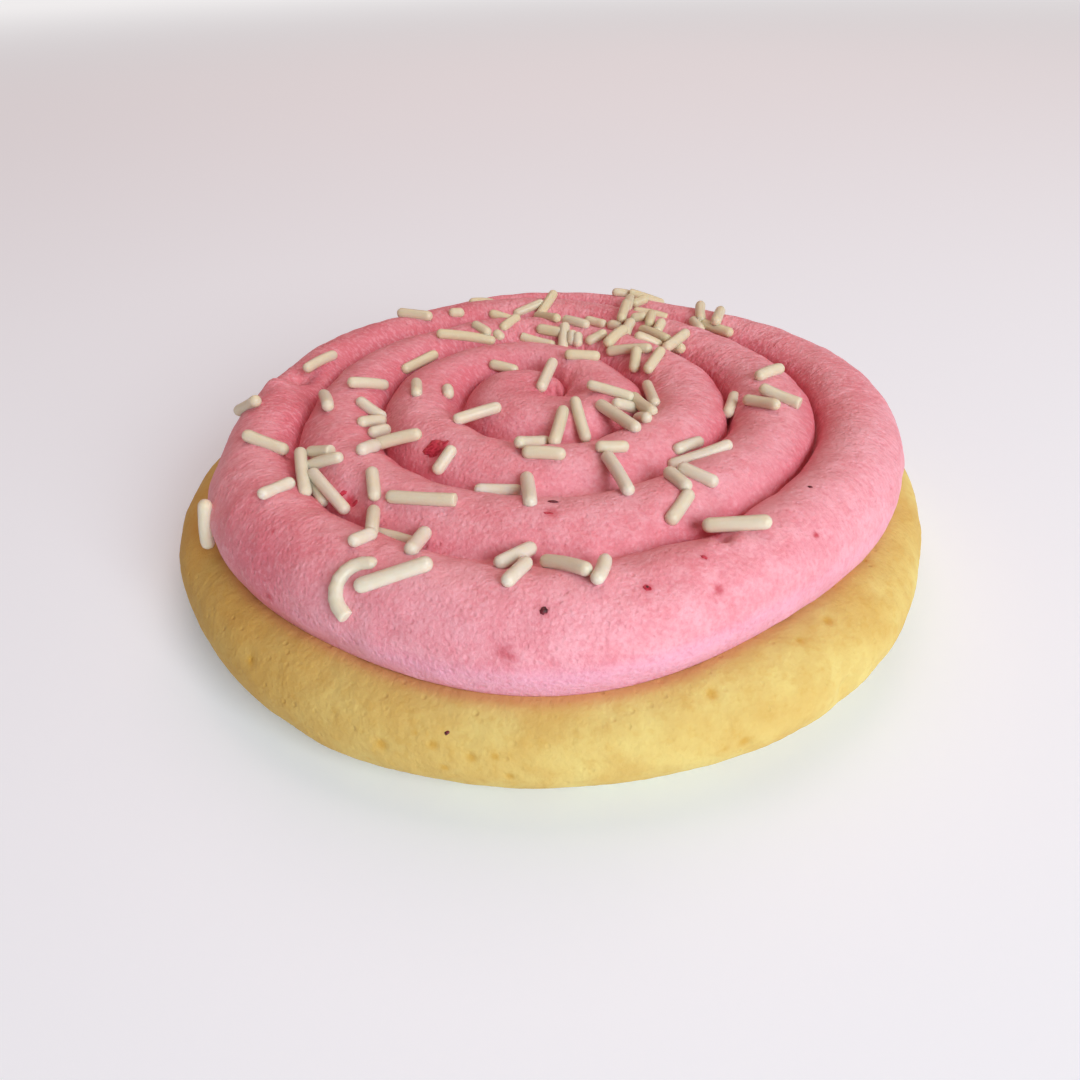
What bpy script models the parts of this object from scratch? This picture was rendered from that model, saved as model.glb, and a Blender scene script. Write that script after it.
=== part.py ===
"""Raspberry-frosted sugar cookie.

A thick round cookie carries one rope of whipped frosting, piped outwards from the middle in a
flat spiral. Stick sprinkles lie on the frosting, pressed a little way in.

Lengths are in metres and +Z is up. The origin is the middle of the cookie's flat underside.
Places on the cookie are given as a bearing and a reach: the bearing is in degrees, anticlockwise
from +X as seen from above, so 90 is the far side and 270 the near side, and the reach is the
distance from the middle of the frosting.
"""

import math

import bmesh
import bpy
import numpy as np
from mathutils import Euler

MM = 0.001
FULL_TURN = 2 * math.pi

# The cookie: a low dome on a flat base, with a fat rounded rim
COOKIE_RADIUS = 51.0 * MM
COOKIE_THICKNESS = 12.8 * MM
COOKIE_CROWN = 0.6 * MM
RIM_WIDTH = 6.5 * MM
RIM_MIDDLE = 6.3 * MM
BASE_ROUNDING = 6.5 * MM
COOKIE_WAVES = ((3, 0.24 * MM, 22), (4, 0.58 * MM, 46), (5, 0.49 * MM, 119))
COOKIE_STEPS = 72
CROWN_RINGS = (0.0, 0.25, 0.5, 0.75)
RIM_LEANS = np.radians((90, 75, 60, 45, 30, 15, 0))
BASE_LEANS = np.radians((-22.5, -45, -67.5, -90))
BASE_RING = 0.5

# The rope of frosting, by the grooves between its turns
FROSTING_MIDDLE = (0.7 * MM, -0.8 * MM)
FIRST_GROOVE = 12.3 * MM
ROPE_PITCH = 10.9 * MM
STEP_START = 0.053
STEP_END = 0.451
DIMPLE_RADIUS = 1.4 * MM
DIMPLE_DEPTH = 1.0 * MM
FROSTING_EDGE = 44.5 * MM
GROOVE_HEIGHT = 20.7 * MM
GROOVE_FALL = 2.5 * MM
FAR_SIDE_RISE = 0.65 * MM
ROPE_FATNESS = 1.14
EDGE_BULGE = 0.75 * MM
FROSTING_WAVES = (
    (1, 0.20 * MM, 90), (2, 0.53 * MM, 109), (3, 0.91 * MM, 6),
    (4, 0.82 * MM, 27), (5, 0.22 * MM, 63), (6, 0.55 * MM, 171),
)
BLUNT_END = 0.02
TURNS = 5
TURN_STEPS = 64
ROPE_FACETS = 6
WALL_FACETS = 5
UNDERSIDE_RINGS = (1.0, 0.96, 0.92, 0.86, 0.6, 0.3, 0.0)
CLEARANCE = 0.3 * MM
LANDING_ROUNDS = 5
WELD = 0.02 * MM

# The sprinkles: bearing, reach, heading and length of each, in the order in which they fell. Bearings
# and headings are in degrees, the rest in millimetres.
SPRINKLE_THICKNESS = 1.5 * MM
SPRINKLE_SIDES = 6
SPRINKLE_SINK = 0.35 * MM
STEEPEST_SPRINKLE = math.tan(math.radians(35))
PLACED_SPRINKLES = {
    "middle": (
        (100, 4.0, 75, 7.5), (128, 11.0, 155, 4.5), (217, 12.0, 24, 6.5), (177, 14.0, 100, 2.5),
        (260, 15.0, 52, 6.5), (266, 18.5, 172, 5.0), (273, 11.3, 79, 7.5), (289, 10.0, 100, 7.5),
        (291, 18.5, 5, 4.0), (322, 14.0, 98, 5.5), (331, 10.5, 23, 4.0), (309, 12.5, 121, 8.5),
        (338, 8.0, 164, 6.5), (336, 12.5, 110, 6.5), (358, 13.0, 92, 8.0),
    ),
    "second turn": (
        (180, 18.0, 97, 4.5), (171, 25.5, 32, 6.0), (182, 30.0, 108, 6.0), (186, 24.0, 144, 5.0),
        (201, 23.5, 37, 3.0), (194, 24.0, 50, 4.5), (212, 22.5, 1, 6.0), (213, 26.5, 67, 4.0),
        (233, 21.5, 46, 4.0), (228, 30.5, 101, 5.0), (241, 30.0, 165, 8.5), (263, 25.0, 94, 7.5),
        (254, 23.5, 1, 5.5), (287, 23.5, 104, 8.5), (318, 21.5, 40, 5.0), (315, 24.0, 10, 8.0),
        (299, 27.5, 115, 4.5), (304, 28.0, 141, 5.0), (295, 31.0, 55, 5.0),
    ),
    "left star": (
        (207, 31.5, 150, 4.5), (211, 32.0, 164, 6.0), (216, 34.0, 118, 4.5), (219, 33.5, 128, 8.5),
        (215, 38.5, 54, 5.0), (211, 34.5, 105, 8.5), (197, 37.3, 161, 6.2), (178, 41.5, 137, 7.5),
    ),
    "front": (
        (239, 34.0, 150, 6.0), (238, 38.0, 48, 3.5), (235, 34.5, 96, 5.5), (246, 35.5, 78, 5.5),
        (247, 41.5, 9, 8.0), (263, 35.5, 46, 5.5), (264, 39.0, 63, 5.0), (271, 37.5, 139, 6.5),
        (276, 39.0, 73, 4.5), (300.5, 36.5, 172, 7.0),
    ),
    "right": ((6, 29.5, 40, 5.5), (348, 27.0, 132, 5.5), (352, 29.5, 144, 6.0), (355, 23.5, 69, 5.5)),
    "far left": (
        (145, 23.5, 50, 7.0), (158, 36.5, 62, 7.0), (123, 23.5, 1, 9.0), (116, 24.0, 133, 4.0),
        (111, 22.0, 139, 2.0), (105, 24.0, 54, 4.5), (96, 19.5, 158, 6.0), (90, 20.5, 155, 4.5),
        (126, 37.0, 162, 6.0), (116, 34.5, 8, 2.5), (96, 32.5, 22, 5.5), (91, 32.5, 62, 7.0),
        (104, 32.0, 168, 4.5), (91, 25.5, 125, 6.5),
    ),
    "far edge": ((106, 41.5, 40, 5.5), (72, 42.0, 176, 4.5), (67, 42.0, 170, 6.5)),
    "far heap": (
        (80, 22.5, 140, 5.0), (75, 28.0, 144, 4.0), (68, 27.0, 142, 2.5), (80, 18.5, 88, 2.5),
        (77, 18.0, 88, 2.5), (63, 9.5, 178, 5.0), (84, 19.0, 83, 5.0), (67, 30.0, 77, 6.5),
        (67, 38.5, 14, 3.0), (69, 36.5, 80, 6.5), (61, 28.5, 171, 2.5), (62, 35.0, 165, 6.0),
        (57, 28.5, 79, 4.0), (52, 27.0, 64, 3.0), (62, 25.5, 72, 4.5), (59, 18.5, 55, 5.5),
        (68, 18.0, 17, 3.5), (46, 16.0, 156, 7.0), (42, 24.5, 135, 4.0), (51, 25.0, 122, 7.0),
        (48, 21.5, 0, 4.5), (41, 24.5, 48, 6.0), (36, 14.5, 78, 4.0), (27, 16.0, 60, 5.5),
    ),
    "far right": ((48, 34.5, 100, 4.5), (43, 35.5, 133, 6.0), (45, 37.5, 72, 6.0), (50, 37.5, 83, 5.5)),
}
# Two stick to the steep edge, where lean is the angle above its widest line: a curved one over the
# front left, an arc drawn on the edge between two of its angles, and one upright on the left
CURVED_BEARING, CURVED_LEAN, CURVED_RADIUS = 243.0, 53, 2.8 * MM
CURVED_FROM, CURVED_TO, CURVED_PIECES = 100, 250, 4
UPRIGHT_BEARING, UPRIGHT_LEAN, UPRIGHT_LENGTH = 206, 10, 6.5 * MM
UPRIGHT_STANDOFF = 0.45 * MM


def waviness(angle, waves):
    """How far the outline stands out at an angle: a sum of a few slow waves round it."""
    return sum(height * np.cos(count * angle - math.radians(crest)) for count, height, crest in waves)


def eased(share):
    """0 before the step and 1 after it, along a smooth S, with a short blunt start and end."""
    share = np.clip(share, 0, 1)
    return np.clip((1 + 2 * BLUNT_END) * share * share * (3 - 2 * share) - BLUNT_END, 0, 1)


def groove_radius(turns):
    """Reach of the groove after so many turns: level for most of a turn, one pitch out at its far side."""
    whole = np.floor(turns)
    step = eased((turns - whole - STEP_START) / (STEP_END - STEP_START))
    return np.clip(FIRST_GROOVE + ROPE_PITCH * (whole - 1 + step), DIMPLE_RADIUS, FROSTING_EDGE)


def groove_height(radius, angle):
    """The grooves lie on a shallow dome, which falls less towards the far side."""
    far = ((1 + np.sin(angle)) / 2) ** 2
    return GROOVE_HEIGHT - (GROOVE_FALL - FAR_SIDE_RISE * far) * (radius / FROSTING_EDGE) ** 2


def cookie_top(x, y):
    """Height of the cookie's upper face over a point."""
    radius = np.hypot(x, y)
    edge = COOKIE_RADIUS + waviness(np.arctan2(y, x), COOKIE_WAVES)
    shoulder = edge - RIM_WIDTH
    crown = COOKIE_THICKNESS - COOKIE_CROWN * (np.minimum(radius, shoulder) / shoulder) ** 2
    over = np.clip((radius - shoulder) / RIM_WIDTH, 0, 1)
    rim_height = COOKIE_THICKNESS - COOKIE_CROWN - RIM_MIDDLE
    return crown - rim_height * (1 - np.sqrt(1 - over**2))


def on_frosting(radius, angle, height):
    """Plan and height of frosting points, with the outline's waves growing towards the edge."""
    reach = radius + waviness(angle, FROSTING_WAVES) * (radius / FROSTING_EDGE) ** 2
    x = FROSTING_MIDDLE[0] + reach * np.cos(angle)
    y = FROSTING_MIDDLE[1] + reach * np.sin(angle)
    return np.stack(np.broadcast_arrays(x, y, height), axis=-1)


def rope_section(inner, outer, share):
    """Radius and rise across one turn: the top of a circle that stands in two grooves.

    Where a turn is squeezed narrow, its circle becomes an upright ellipse, so it keeps more of its height.
    """
    half = (outer - inner) / 2
    lean = math.acos(1 / ROPE_FATNESS)
    around = math.pi - lean - share * (math.pi - 2 * lean)
    radius = (inner + outer) / 2 + ROPE_FATNESS * half * np.cos(around)
    rise = ROPE_FATNESS * np.sqrt(half * ROPE_PITCH / 2) * (np.sin(around) - math.sin(lean))
    return radius, rise


def edge_circle(angle):
    """Middle radius, middle height and radius of the circle that rounds the frosting's outer wall."""
    half = (FROSTING_EDGE - groove_radius(3.0)) / 2
    fat = half + EDGE_BULGE
    return FROSTING_EDGE - half, groove_height(FROSTING_EDGE, angle) - math.sqrt(fat**2 - half**2), fat


def frosting_top(x, y):
    """Height of the frosting over a point, and 0 beside it."""
    x = np.asarray(x) - FROSTING_MIDDLE[0]
    y = np.asarray(y) - FROSTING_MIDDLE[1]
    angle = np.arctan2(y, x) % FULL_TURN
    reach = np.hypot(x, y)
    reach = reach - waviness(angle, FROSTING_WAVES) * (reach / FROSTING_EDGE) ** 2
    groove = groove_height(reach, angle)
    middle, level, fat = edge_circle(angle)
    across = reach - middle
    height = np.where(across < fat, level + np.sqrt(np.maximum(fat**2 - across**2, 0)), 0)
    for turn in range(TURNS):
        inner = groove_radius(angle / FULL_TURN + turn - 1)
        outer = groove_radius(angle / FULL_TURN + turn)
        half = np.maximum(outer - inner, WELD) / 2
        across = (reach - (inner + outer) / 2) / half
        arch = np.sqrt(np.maximum(ROPE_FATNESS**2 - across**2, 0)) - math.sqrt(ROPE_FATNESS**2 - 1)
        inside = (reach >= inner) & (reach < outer)
        height = np.where(inside, groove + np.sqrt(half * ROPE_PITCH / 2) * arch, height)
    return np.where(reach < DIMPLE_RADIUS, groove - DIMPLE_DEPTH / 2, height)


def material(name, colour, roughness):
    """A plain Principled material with a linear colour."""
    made = bpy.data.materials.new(name)
    made.use_nodes = True
    shader = made.node_tree.nodes["Principled BSDF"]
    shader.inputs["Base Color"].default_value = (*colour, 1)
    shader.inputs["Roughness"].default_value = roughness
    shader.inputs["Metallic"].default_value = 0
    return made


def add_object(name, mesh, collection, finish):
    """Links a mesh to a collection as a new object with one material."""
    made = bpy.data.objects.new(name, mesh)
    mesh.materials.append(finish)
    collection.objects.link(made)
    return made


def join_grids(name, grids):
    """One closed mesh from grids of points whose borders meet: their quads, welded where they touch."""
    points = np.concatenate([grid.reshape(-1, 3) for grid in grids])
    quads, start = [], 0
    for rows, columns, _ in (grid.shape for grid in grids):
        index = start + np.arange(rows * columns).reshape(rows, columns)
        corners = (index[:-1, :-1], index[1:, :-1], index[1:, 1:], index[:-1, 1:])
        quads.append(np.stack(corners, axis=-1).reshape(-1, 4))
        start += rows * columns
    mesh = bpy.data.meshes.new(name)
    mesh.from_pydata(points.tolist(), [], np.concatenate(quads).tolist())
    work = bmesh.new()
    work.from_mesh(mesh)
    bmesh.ops.remove_doubles(work, verts=work.verts, dist=WELD)
    bmesh.ops.recalc_face_normals(work, faces=work.faces)
    work.to_mesh(mesh)
    work.free()
    mesh.shade_smooth()
    return mesh


def rim_profile():
    """Outline of the cookie from the top of its axis, round the rim and in to the foot of the axis."""
    shoulder = COOKIE_RADIUS - RIM_WIDTH
    crown = [(shoulder * share, share) for share in CROWN_RINGS]
    points = [(radius, COOKIE_THICKNESS - COOKIE_CROWN * share**2) for radius, share in crown]
    rim_height = COOKIE_THICKNESS - COOKIE_CROWN - RIM_MIDDLE
    for lean in RIM_LEANS:
        points.append((shoulder + RIM_WIDTH * math.cos(lean), RIM_MIDDLE + rim_height * math.sin(lean)))
    base = COOKIE_RADIUS - BASE_ROUNDING
    for lean in BASE_LEANS:
        points.append((base + BASE_ROUNDING * math.cos(lean), RIM_MIDDLE + RIM_MIDDLE * math.sin(lean)))
    return points + [(base * BASE_RING, 0.0), (0.0, 0.0)]


def build_cookie(collection, finish):
    """Turns the profile with a Screw modifier, then lets the rim run a little out of round."""
    profile = bpy.data.meshes.new("cookie_profile")
    points = [(radius, 0.0, height) for radius, height in rim_profile()]
    profile.from_pydata(points, [(i, i + 1) for i in range(len(points) - 1)], [])
    turned = bpy.data.objects.new("cookie_turned", profile)
    collection.objects.link(turned)
    screw = turned.modifiers.new("turn", "SCREW")
    screw.steps = screw.render_steps = COOKIE_STEPS
    screw.use_merge_vertices = True
    screw.merge_threshold = WELD / 2
    graph = bpy.context.evaluated_depsgraph_get()
    mesh = bpy.data.meshes.new_from_object(turned.evaluated_get(graph))
    bpy.data.objects.remove(turned)
    places = np.empty(len(mesh.vertices) * 3)
    mesh.vertices.foreach_get("co", places)
    places = places.reshape(-1, 3)
    angle = np.arctan2(places[:, 1], places[:, 0])
    radius = np.hypot(places[:, 0], places[:, 1])
    places[:, :2] *= 1 + (waviness(angle, COOKIE_WAVES) * radius / COOKIE_RADIUS**2)[:, None]
    mesh.vertices.foreach_set("co", places.ravel())
    mesh.shade_smooth()
    return add_object("cookie", mesh, collection, finish)


def rope_grid():
    """The frosting's top: the rope's arched section carried round the spiral, turn beside turn."""
    turns = np.arange(TURNS * TURN_STEPS + 1)[:, None] / TURN_STEPS
    share = np.linspace(0, 1, ROPE_FACETS + 1)[None, :]
    radius, rise = rope_section(groove_radius(turns - 1), groove_radius(turns), share)
    angle = FULL_TURN * turns
    return on_frosting(radius, angle, groove_height(radius, angle) + rise)


def ring_angles():
    """Angles once round, with the first repeated at the end."""
    return FULL_TURN * np.arange(TURN_STEPS + 1)[None, :] / TURN_STEPS


def wall_grid():
    """The outer wall: from the last turn's edge round the bulge and down to just over the cookie."""
    angle = ring_angles()
    middle, level, fat = edge_circle(angle)
    top = math.acos((FROSTING_EDGE - middle) / fat)
    foot = np.full_like(angle, -top)
    for _ in range(LANDING_ROUNDS):
        landing = on_frosting(middle + fat * np.cos(foot), angle, 0.0)
        wanted = cookie_top(landing[..., 0], landing[..., 1]) + CLEARANCE
        foot = np.arcsin((wanted - level) / fat)
    lean = top + (foot - top) * np.linspace(0, 1, WALL_FACETS + 1)[:, None]
    return on_frosting(middle + fat * np.cos(lean), angle, level + fat * np.sin(lean))


def underside_grid(wall_foot):
    """The frosting's underside: it follows the cookie's top from the wall's foot to the middle."""
    share = np.array(UNDERSIDE_RINGS)[:, None, None]
    centre = np.array([*FROSTING_MIDDLE, 0.0])
    points = centre + (wall_foot[None] - centre) * share
    points[..., 2] = cookie_top(points[..., 0], points[..., 1]) + CLEARANCE
    points[0] = wall_foot
    return points


def dimple_grid():
    """The small pit in the middle, where the rope starts."""
    angle = ring_angles()
    radius = np.array([[DIMPLE_RADIUS], [0.0]])
    return on_frosting(radius, angle, groove_height(radius, angle) - np.array([[0.0], [DIMPLE_DEPTH]]))


def build_frosting(collection, finish):
    wall = wall_grid()
    mesh = join_grids("frosting", [rope_grid(), wall, underside_grid(wall[-1]), dimple_grid()])
    return add_object("frosting", mesh, collection, finish)


class Ground:
    """What a falling sprinkle meets: the frosting, and the sprinkles that already lie on it."""

    SAMPLES = np.linspace(-0.45, 0.45, 9)
    MIDDLE = 4

    def __init__(self):
        self.laid = []

    def height(self, x, y):
        """Height of the frosting, or of a sprinkle's back where one lies in the way."""
        top = frosting_top(x, y)
        radius = SPRINKLE_THICKNESS / 2
        for start, end in self.laid:
            run = end - start
            share = ((x - start[0]) * run[0] + (y - start[1]) * run[1]) / (run[0] ** 2 + run[1] ** 2)
            share = np.clip(share, 0, 1)
            beside = np.hypot(x - start[0] - share * run[0], y - start[1] - share * run[1])
            back = start[2] + share * run[2] + np.sqrt(np.maximum(radius**2 - beside**2, 0))
            top = np.where(beside < radius, np.maximum(top, back), top)
        return top

    def lay(self, x, y, heading, length):
        """Rests a sprinkle on the two bumps that carry it, or rocked half way over a single one."""
        along = self.SAMPLES * length
        ground = self.height(x + along * math.cos(heading), y + along * math.sin(heading))
        near, far = np.meshgrid(np.arange(self.MIDDLE), np.arange(self.MIDDLE + 1, along.size))
        slope = (ground[far] - ground[near]) / (along[far] - along[near])
        bridge = ground[near] - slope * along[near]
        tilt = slope.ravel()[np.argmax(bridge)]
        if ground[self.MIDDLE] > bridge.max():
            rise = (ground - ground[self.MIDDLE])[along != 0] / along[along != 0]
            tilt = (rise[: self.MIDDLE].min() + rise[self.MIDDLE :].max()) / 2
        tilt = float(np.clip(tilt, -STEEPEST_SPRINKLE, STEEPEST_SPRINKLE))
        rest = (ground - tilt * along).max()
        lean = math.atan(tilt)
        middle = np.array([x, y, rest + (SPRINKLE_THICKNESS / 2 - SPRINKLE_SINK) / math.cos(lean)])
        axis = np.array([math.cos(heading), math.sin(heading), tilt]) * math.cos(lean)
        reach = (length - SPRINKLE_THICKNESS) / 2
        self.laid.append((middle - reach * axis, middle + reach * axis))


def plan(bearing, reach):
    """Plan position of a bearing in degrees and a reach in metres."""
    angle = math.radians(bearing)
    return FROSTING_MIDDLE[0] + reach * math.cos(angle), FROSTING_MIDDLE[1] + reach * math.sin(angle)


def on_edge(bearing, lean, standoff):
    """A point just off the rounded edge, from its bearing and its lean above the widest line."""
    bearing, lean = math.radians(bearing), math.radians(lean)
    middle, level, fat = edge_circle(bearing)
    away = fat + standoff
    return on_frosting(middle + away * math.cos(lean), bearing, level + away * math.sin(lean))


def lay_curved(ground):
    """Lays the curved sprinkle on the edge as short straight pieces along an arc, end to end."""
    _, _, fat = edge_circle(math.radians(CURVED_BEARING))
    joints = []
    for side in np.radians(np.linspace(CURVED_FROM, CURVED_TO, CURVED_PIECES + 1)):
        bearing = CURVED_BEARING + math.degrees(CURVED_RADIUS * math.cos(side) / FROSTING_EDGE)
        lean = CURVED_LEAN + math.degrees(CURVED_RADIUS * math.sin(side) / fat)
        joints.append(on_edge(bearing, lean, SPRINKLE_THICKNESS / 2 - SPRINKLE_SINK))
    ground.laid += list(zip(joints, joints[1:]))


def lay_upright(ground):
    """Sticks one sprinkle upright to the edge."""
    middle = on_edge(UPRIGHT_BEARING, UPRIGHT_LEAN, UPRIGHT_STANDOFF)
    bearing, lean = math.radians(UPRIGHT_BEARING), math.radians(UPRIGHT_LEAN)
    up = np.array([-math.sin(lean) * math.cos(bearing), -math.sin(lean) * math.sin(bearing), math.cos(lean)])
    reach = (UPRIGHT_LENGTH - SPRINKLE_THICKNESS) / 2
    ground.laid.append((middle - reach * up, middle + reach * up))


def lay_sprinkles():
    """The two ends of every sprinkle's axis, in the order in which they fell."""
    ground = Ground()
    for group in PLACED_SPRINKLES.values():
        for bearing, reach, heading, length in group:
            ground.lay(*plan(bearing, reach * MM), math.radians(heading), length * MM)
    lay_curved(ground)
    lay_upright(ground)
    return ground.laid


def sprinkle_mesh(name, half_axis):
    """A six-sided stick with blunt points: a very coarse sphere, pulled apart along its axis."""
    radius = SPRINKLE_THICKNESS / 2
    work = bmesh.new()
    bmesh.ops.create_uvsphere(work, u_segments=SPRINKLE_SIDES, v_segments=3, radius=radius)
    widen = 1 / math.cos(math.pi / SPRINKLE_SIDES)
    bmesh.ops.scale(work, vec=(widen, widen, 1), verts=work.verts)
    for vertex in work.verts:
        vertex.co.z += math.copysign(half_axis, vertex.co.z)
    mesh = bpy.data.meshes.new(name)
    work.to_mesh(mesh)
    work.free()
    return mesh


def build_sprinkles(collection, finish):
    for number, (start, end) in enumerate(lay_sprinkles()):
        run = end - start
        half_axis = float(np.linalg.norm(run)) / 2
        name = f"sprinkle_{number:03d}"
        made = add_object(name, sprinkle_mesh(name, half_axis), collection, finish)
        made.location = (start + end) / 2
        lean = math.acos(run[2] / (2 * half_axis))
        made.rotation_euler = Euler((0, lean, math.atan2(run[1], run[0])))


def fuse(target, collection):
    """Joins every object of a collection to the target for good, and removes them."""
    bpy.context.view_layer.update()
    union = target.modifiers.new("fuse", "BOOLEAN")
    union.operation = "UNION"
    union.operand_type = "COLLECTION"
    union.collection = collection
    union.solver = "EXACT"
    graph = bpy.context.evaluated_depsgraph_get()
    fused = bpy.data.meshes.new_from_object(target.evaluated_get(graph))
    target.modifiers.clear()
    target.data = fused
    for made in list(collection.objects):
        bpy.data.objects.remove(made)
    bpy.data.collections.remove(collection)


def main():
    for old in list(bpy.data.objects):
        bpy.data.objects.remove(old)
    scene = bpy.context.scene
    scene.unit_settings.system = "METRIC"
    food = bpy.data.collections.new("frosted_cookie")
    scene.collection.children.link(food)
    toppings = bpy.data.collections.new("sprinkles")
    scene.collection.children.link(toppings)

    baked = material("baked_dough", (0.74, 0.53, 0.19), 0.75)
    pink = material("raspberry_frosting", (0.80, 0.31, 0.39), 0.5)
    cream = material("cream_sprinkle", (0.85, 0.76, 0.62), 0.4)

    build_cookie(food, baked)
    frosting = build_frosting(food, pink)
    build_sprinkles(toppings, cream)
    fuse(frosting, toppings)


main()
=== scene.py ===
# %% [markdown]
# # A raspberry-frosted sugar cookie
#
# A thick, soft sugar cookie carries one rope of pink whipped frosting, piped outwards in a flat
# spiral, and cream stick sprinkles that fell on it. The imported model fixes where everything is, and
# this lesson gives it its fine surface: wrinkles in the frosting, crumb in the dough, rounded ends
# on the sprinkles, raspberry pulp and seeds. Every surface here is a formula worked out with numpy.

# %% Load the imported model
import math

import bmesh
import bpy
import numpy as np
from mathutils import Matrix, Vector
from mathutils.bvhtree import BVHTree


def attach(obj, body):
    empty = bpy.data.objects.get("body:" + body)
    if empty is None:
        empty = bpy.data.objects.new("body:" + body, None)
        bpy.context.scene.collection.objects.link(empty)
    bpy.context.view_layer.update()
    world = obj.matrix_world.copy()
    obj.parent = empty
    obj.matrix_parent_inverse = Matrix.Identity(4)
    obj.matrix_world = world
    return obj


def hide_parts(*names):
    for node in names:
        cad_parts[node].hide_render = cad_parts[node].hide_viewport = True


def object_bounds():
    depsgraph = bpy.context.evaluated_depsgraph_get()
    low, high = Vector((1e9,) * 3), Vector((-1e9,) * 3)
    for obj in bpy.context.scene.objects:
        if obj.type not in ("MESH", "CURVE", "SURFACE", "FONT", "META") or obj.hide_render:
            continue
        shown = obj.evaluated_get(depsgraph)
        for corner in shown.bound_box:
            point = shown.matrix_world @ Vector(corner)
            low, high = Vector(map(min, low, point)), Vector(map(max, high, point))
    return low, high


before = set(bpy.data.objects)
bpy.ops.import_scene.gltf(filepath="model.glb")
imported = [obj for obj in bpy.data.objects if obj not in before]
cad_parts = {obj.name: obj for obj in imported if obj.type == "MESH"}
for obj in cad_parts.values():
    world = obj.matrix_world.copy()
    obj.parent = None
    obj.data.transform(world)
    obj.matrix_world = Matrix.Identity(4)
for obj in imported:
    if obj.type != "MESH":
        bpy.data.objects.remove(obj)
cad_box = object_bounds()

MM = 0.001
FULL_TURN = 2 * math.pi
print("model nodes:", sorted(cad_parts))

# %% [markdown]
# ## The camera
#
# The camera could be dragged until the view looks right, but this cookie is seen from very near, and
# a small error in distance changes its whole outline. So the camera stands where the outline of the
# real one puts it: 13 cm from the middle of its underside, looking down at 35 degrees. It comes first
# because pits, stains and raspberry bits are later found by the pixel in which they show.

# %% Stand the camera in its place
FRAME_PIXELS = 1080
FOCAL_PIXELS = 871.4
SENSOR_WIDTH = 36.0
CAMERA_DISTANCE = 129.5 * MM
LOOK_DOWN = math.radians(34.29)
PAN, TILT, ROLL = np.radians((-0.7338, -0.6131, 1.973))
NEAREST_SHOWN = 5 * MM


def unit(vector):
    """A vector made 1 long, its direction kept."""
    return vector / np.linalg.norm(vector, axis=-1, keepdims=True)


def stand(name, data, axes, place):
    """An object at a place, turned so that its own three axes point along the given ones."""
    made = bpy.data.objects.new(name, data)
    pose = np.eye(4)
    pose[:3, :3] = np.stack(axes, axis=1)
    pose[:3, 3] = place
    made.matrix_world = Matrix(pose.tolist())
    bpy.context.scene.collection.objects.link(made)
    return made


eye = CAMERA_DISTANCE * np.array([0, -math.cos(LOOK_DOWN), math.sin(LOOK_DOWN)])
upright = np.array([0, math.sin(LOOK_DOWN), math.cos(LOOK_DOWN)])
sight = unit(unit(-eye) + math.tan(PAN) * np.array([1, 0, 0]) + math.tan(TILT) * upright)
level_right = unit(np.cross(sight, [0, 0, 1]))
level_up = np.cross(level_right, sight)
picture_right = math.cos(ROLL) * level_right - math.sin(ROLL) * level_up
picture_up = math.sin(ROLL) * level_right + math.cos(ROLL) * level_up

camera = bpy.data.cameras.new("camera")
camera.sensor_width = SENSOR_WIDTH
camera.lens = FOCAL_PIXELS / FRAME_PIXELS * SENSOR_WIDTH
camera.clip_start = NEAREST_SHOWN
bpy.context.scene.camera = stand("camera", camera, (picture_right, picture_up, -sight), eye)
print(f"camera: {camera.lens:.2f} mm lens, {CAMERA_DISTANCE / MM:.1f} mm away")

# %% [markdown]
# A pixel of the picture is a ray from the camera. Where the ray first meets a piece is the spot of its
# surface that shows there, so a small thing seen in the picture can be set on the surface itself.

# %% Find the spot of a surface that shows in a pixel
def spots_seen(piece, pixels):
    """Points of a piece that show in pixels, and the normals there: a ray is cast through each."""
    pixels = np.asarray(pixels, float)
    across = (pixels[:, :1] - FRAME_PIXELS / 2) / FOCAL_PIXELS
    down = (pixels[:, 1:] - FRAME_PIXELS / 2) / FOCAL_PIXELS
    rays = unit(sight + across * picture_right - down * picture_up)
    surface = BVHTree.FromObject(piece, bpy.context.evaluated_depsgraph_get())
    hits = [surface.ray_cast(Vector(eye), Vector(ray))[:2] for ray in rays]
    spots, normals = zip(*hits)
    return np.array(spots), np.array(normals)


# %% [markdown]
# ## Soft noise
#
# Dough and frosting are uneven in a soft way. Blender's textures could push the surface about, but
# numbers of our own can be made to run along the rope, and to close without a seam round a ring. So
# noise here is a sheet of random heights, one at each whole number, joined by smooth S curves.

# %% Make the noise
NOISE_ROWS = 64


def smooth(share):
    """0 to 1 along an S: three times the square less twice the cube."""
    share = np.clip(share, 0, 1)
    return share * share * (3 - 2 * share)


def soft_noise(rounds, across, cells, width, seed, push=0.0):
    """Heights from -1 to 1: a random one at each whole number, blended over the four nearest.

    There are so many cells a round, so it closes round a ring, and each is so wide across. A layer of
    noise is these two and a seed. The push shifts it along, in cells.
    """
    table = np.random.default_rng(seed).uniform(-1, 1, (cells, NOISE_ROWS))
    along, across = rounds * cells + push, across / width
    column, row = np.floor(along).astype(int), np.floor(across).astype(int)
    right, up = smooth(along - column), smooth(across - row)
    corners = [[table[(column + i) % cells, (row + j) % NOISE_ROWS] for i in (0, 1)] for j in (0, 1)]
    low, high = (first * (1 - right) + second * right for first, second in corners)
    return low * (1 - up) + high * up


def bell(distance, width):
    """1 at the middle, falling away like a bell over the width."""
    return np.exp(-((distance / width) ** 2))


def on_side(degrees, side):
    """1 on a side, falling away like a bell round it. A side is a bearing and a width, in degrees."""
    return bell(degrees - side[0], side[1])


def round_axis(reach, angle, height):
    """Points at a reach, an angle and a height, as x, y and z."""
    return np.stack(np.broadcast_arrays(reach * np.cos(angle), reach * np.sin(angle), height), axis=-1)


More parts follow.
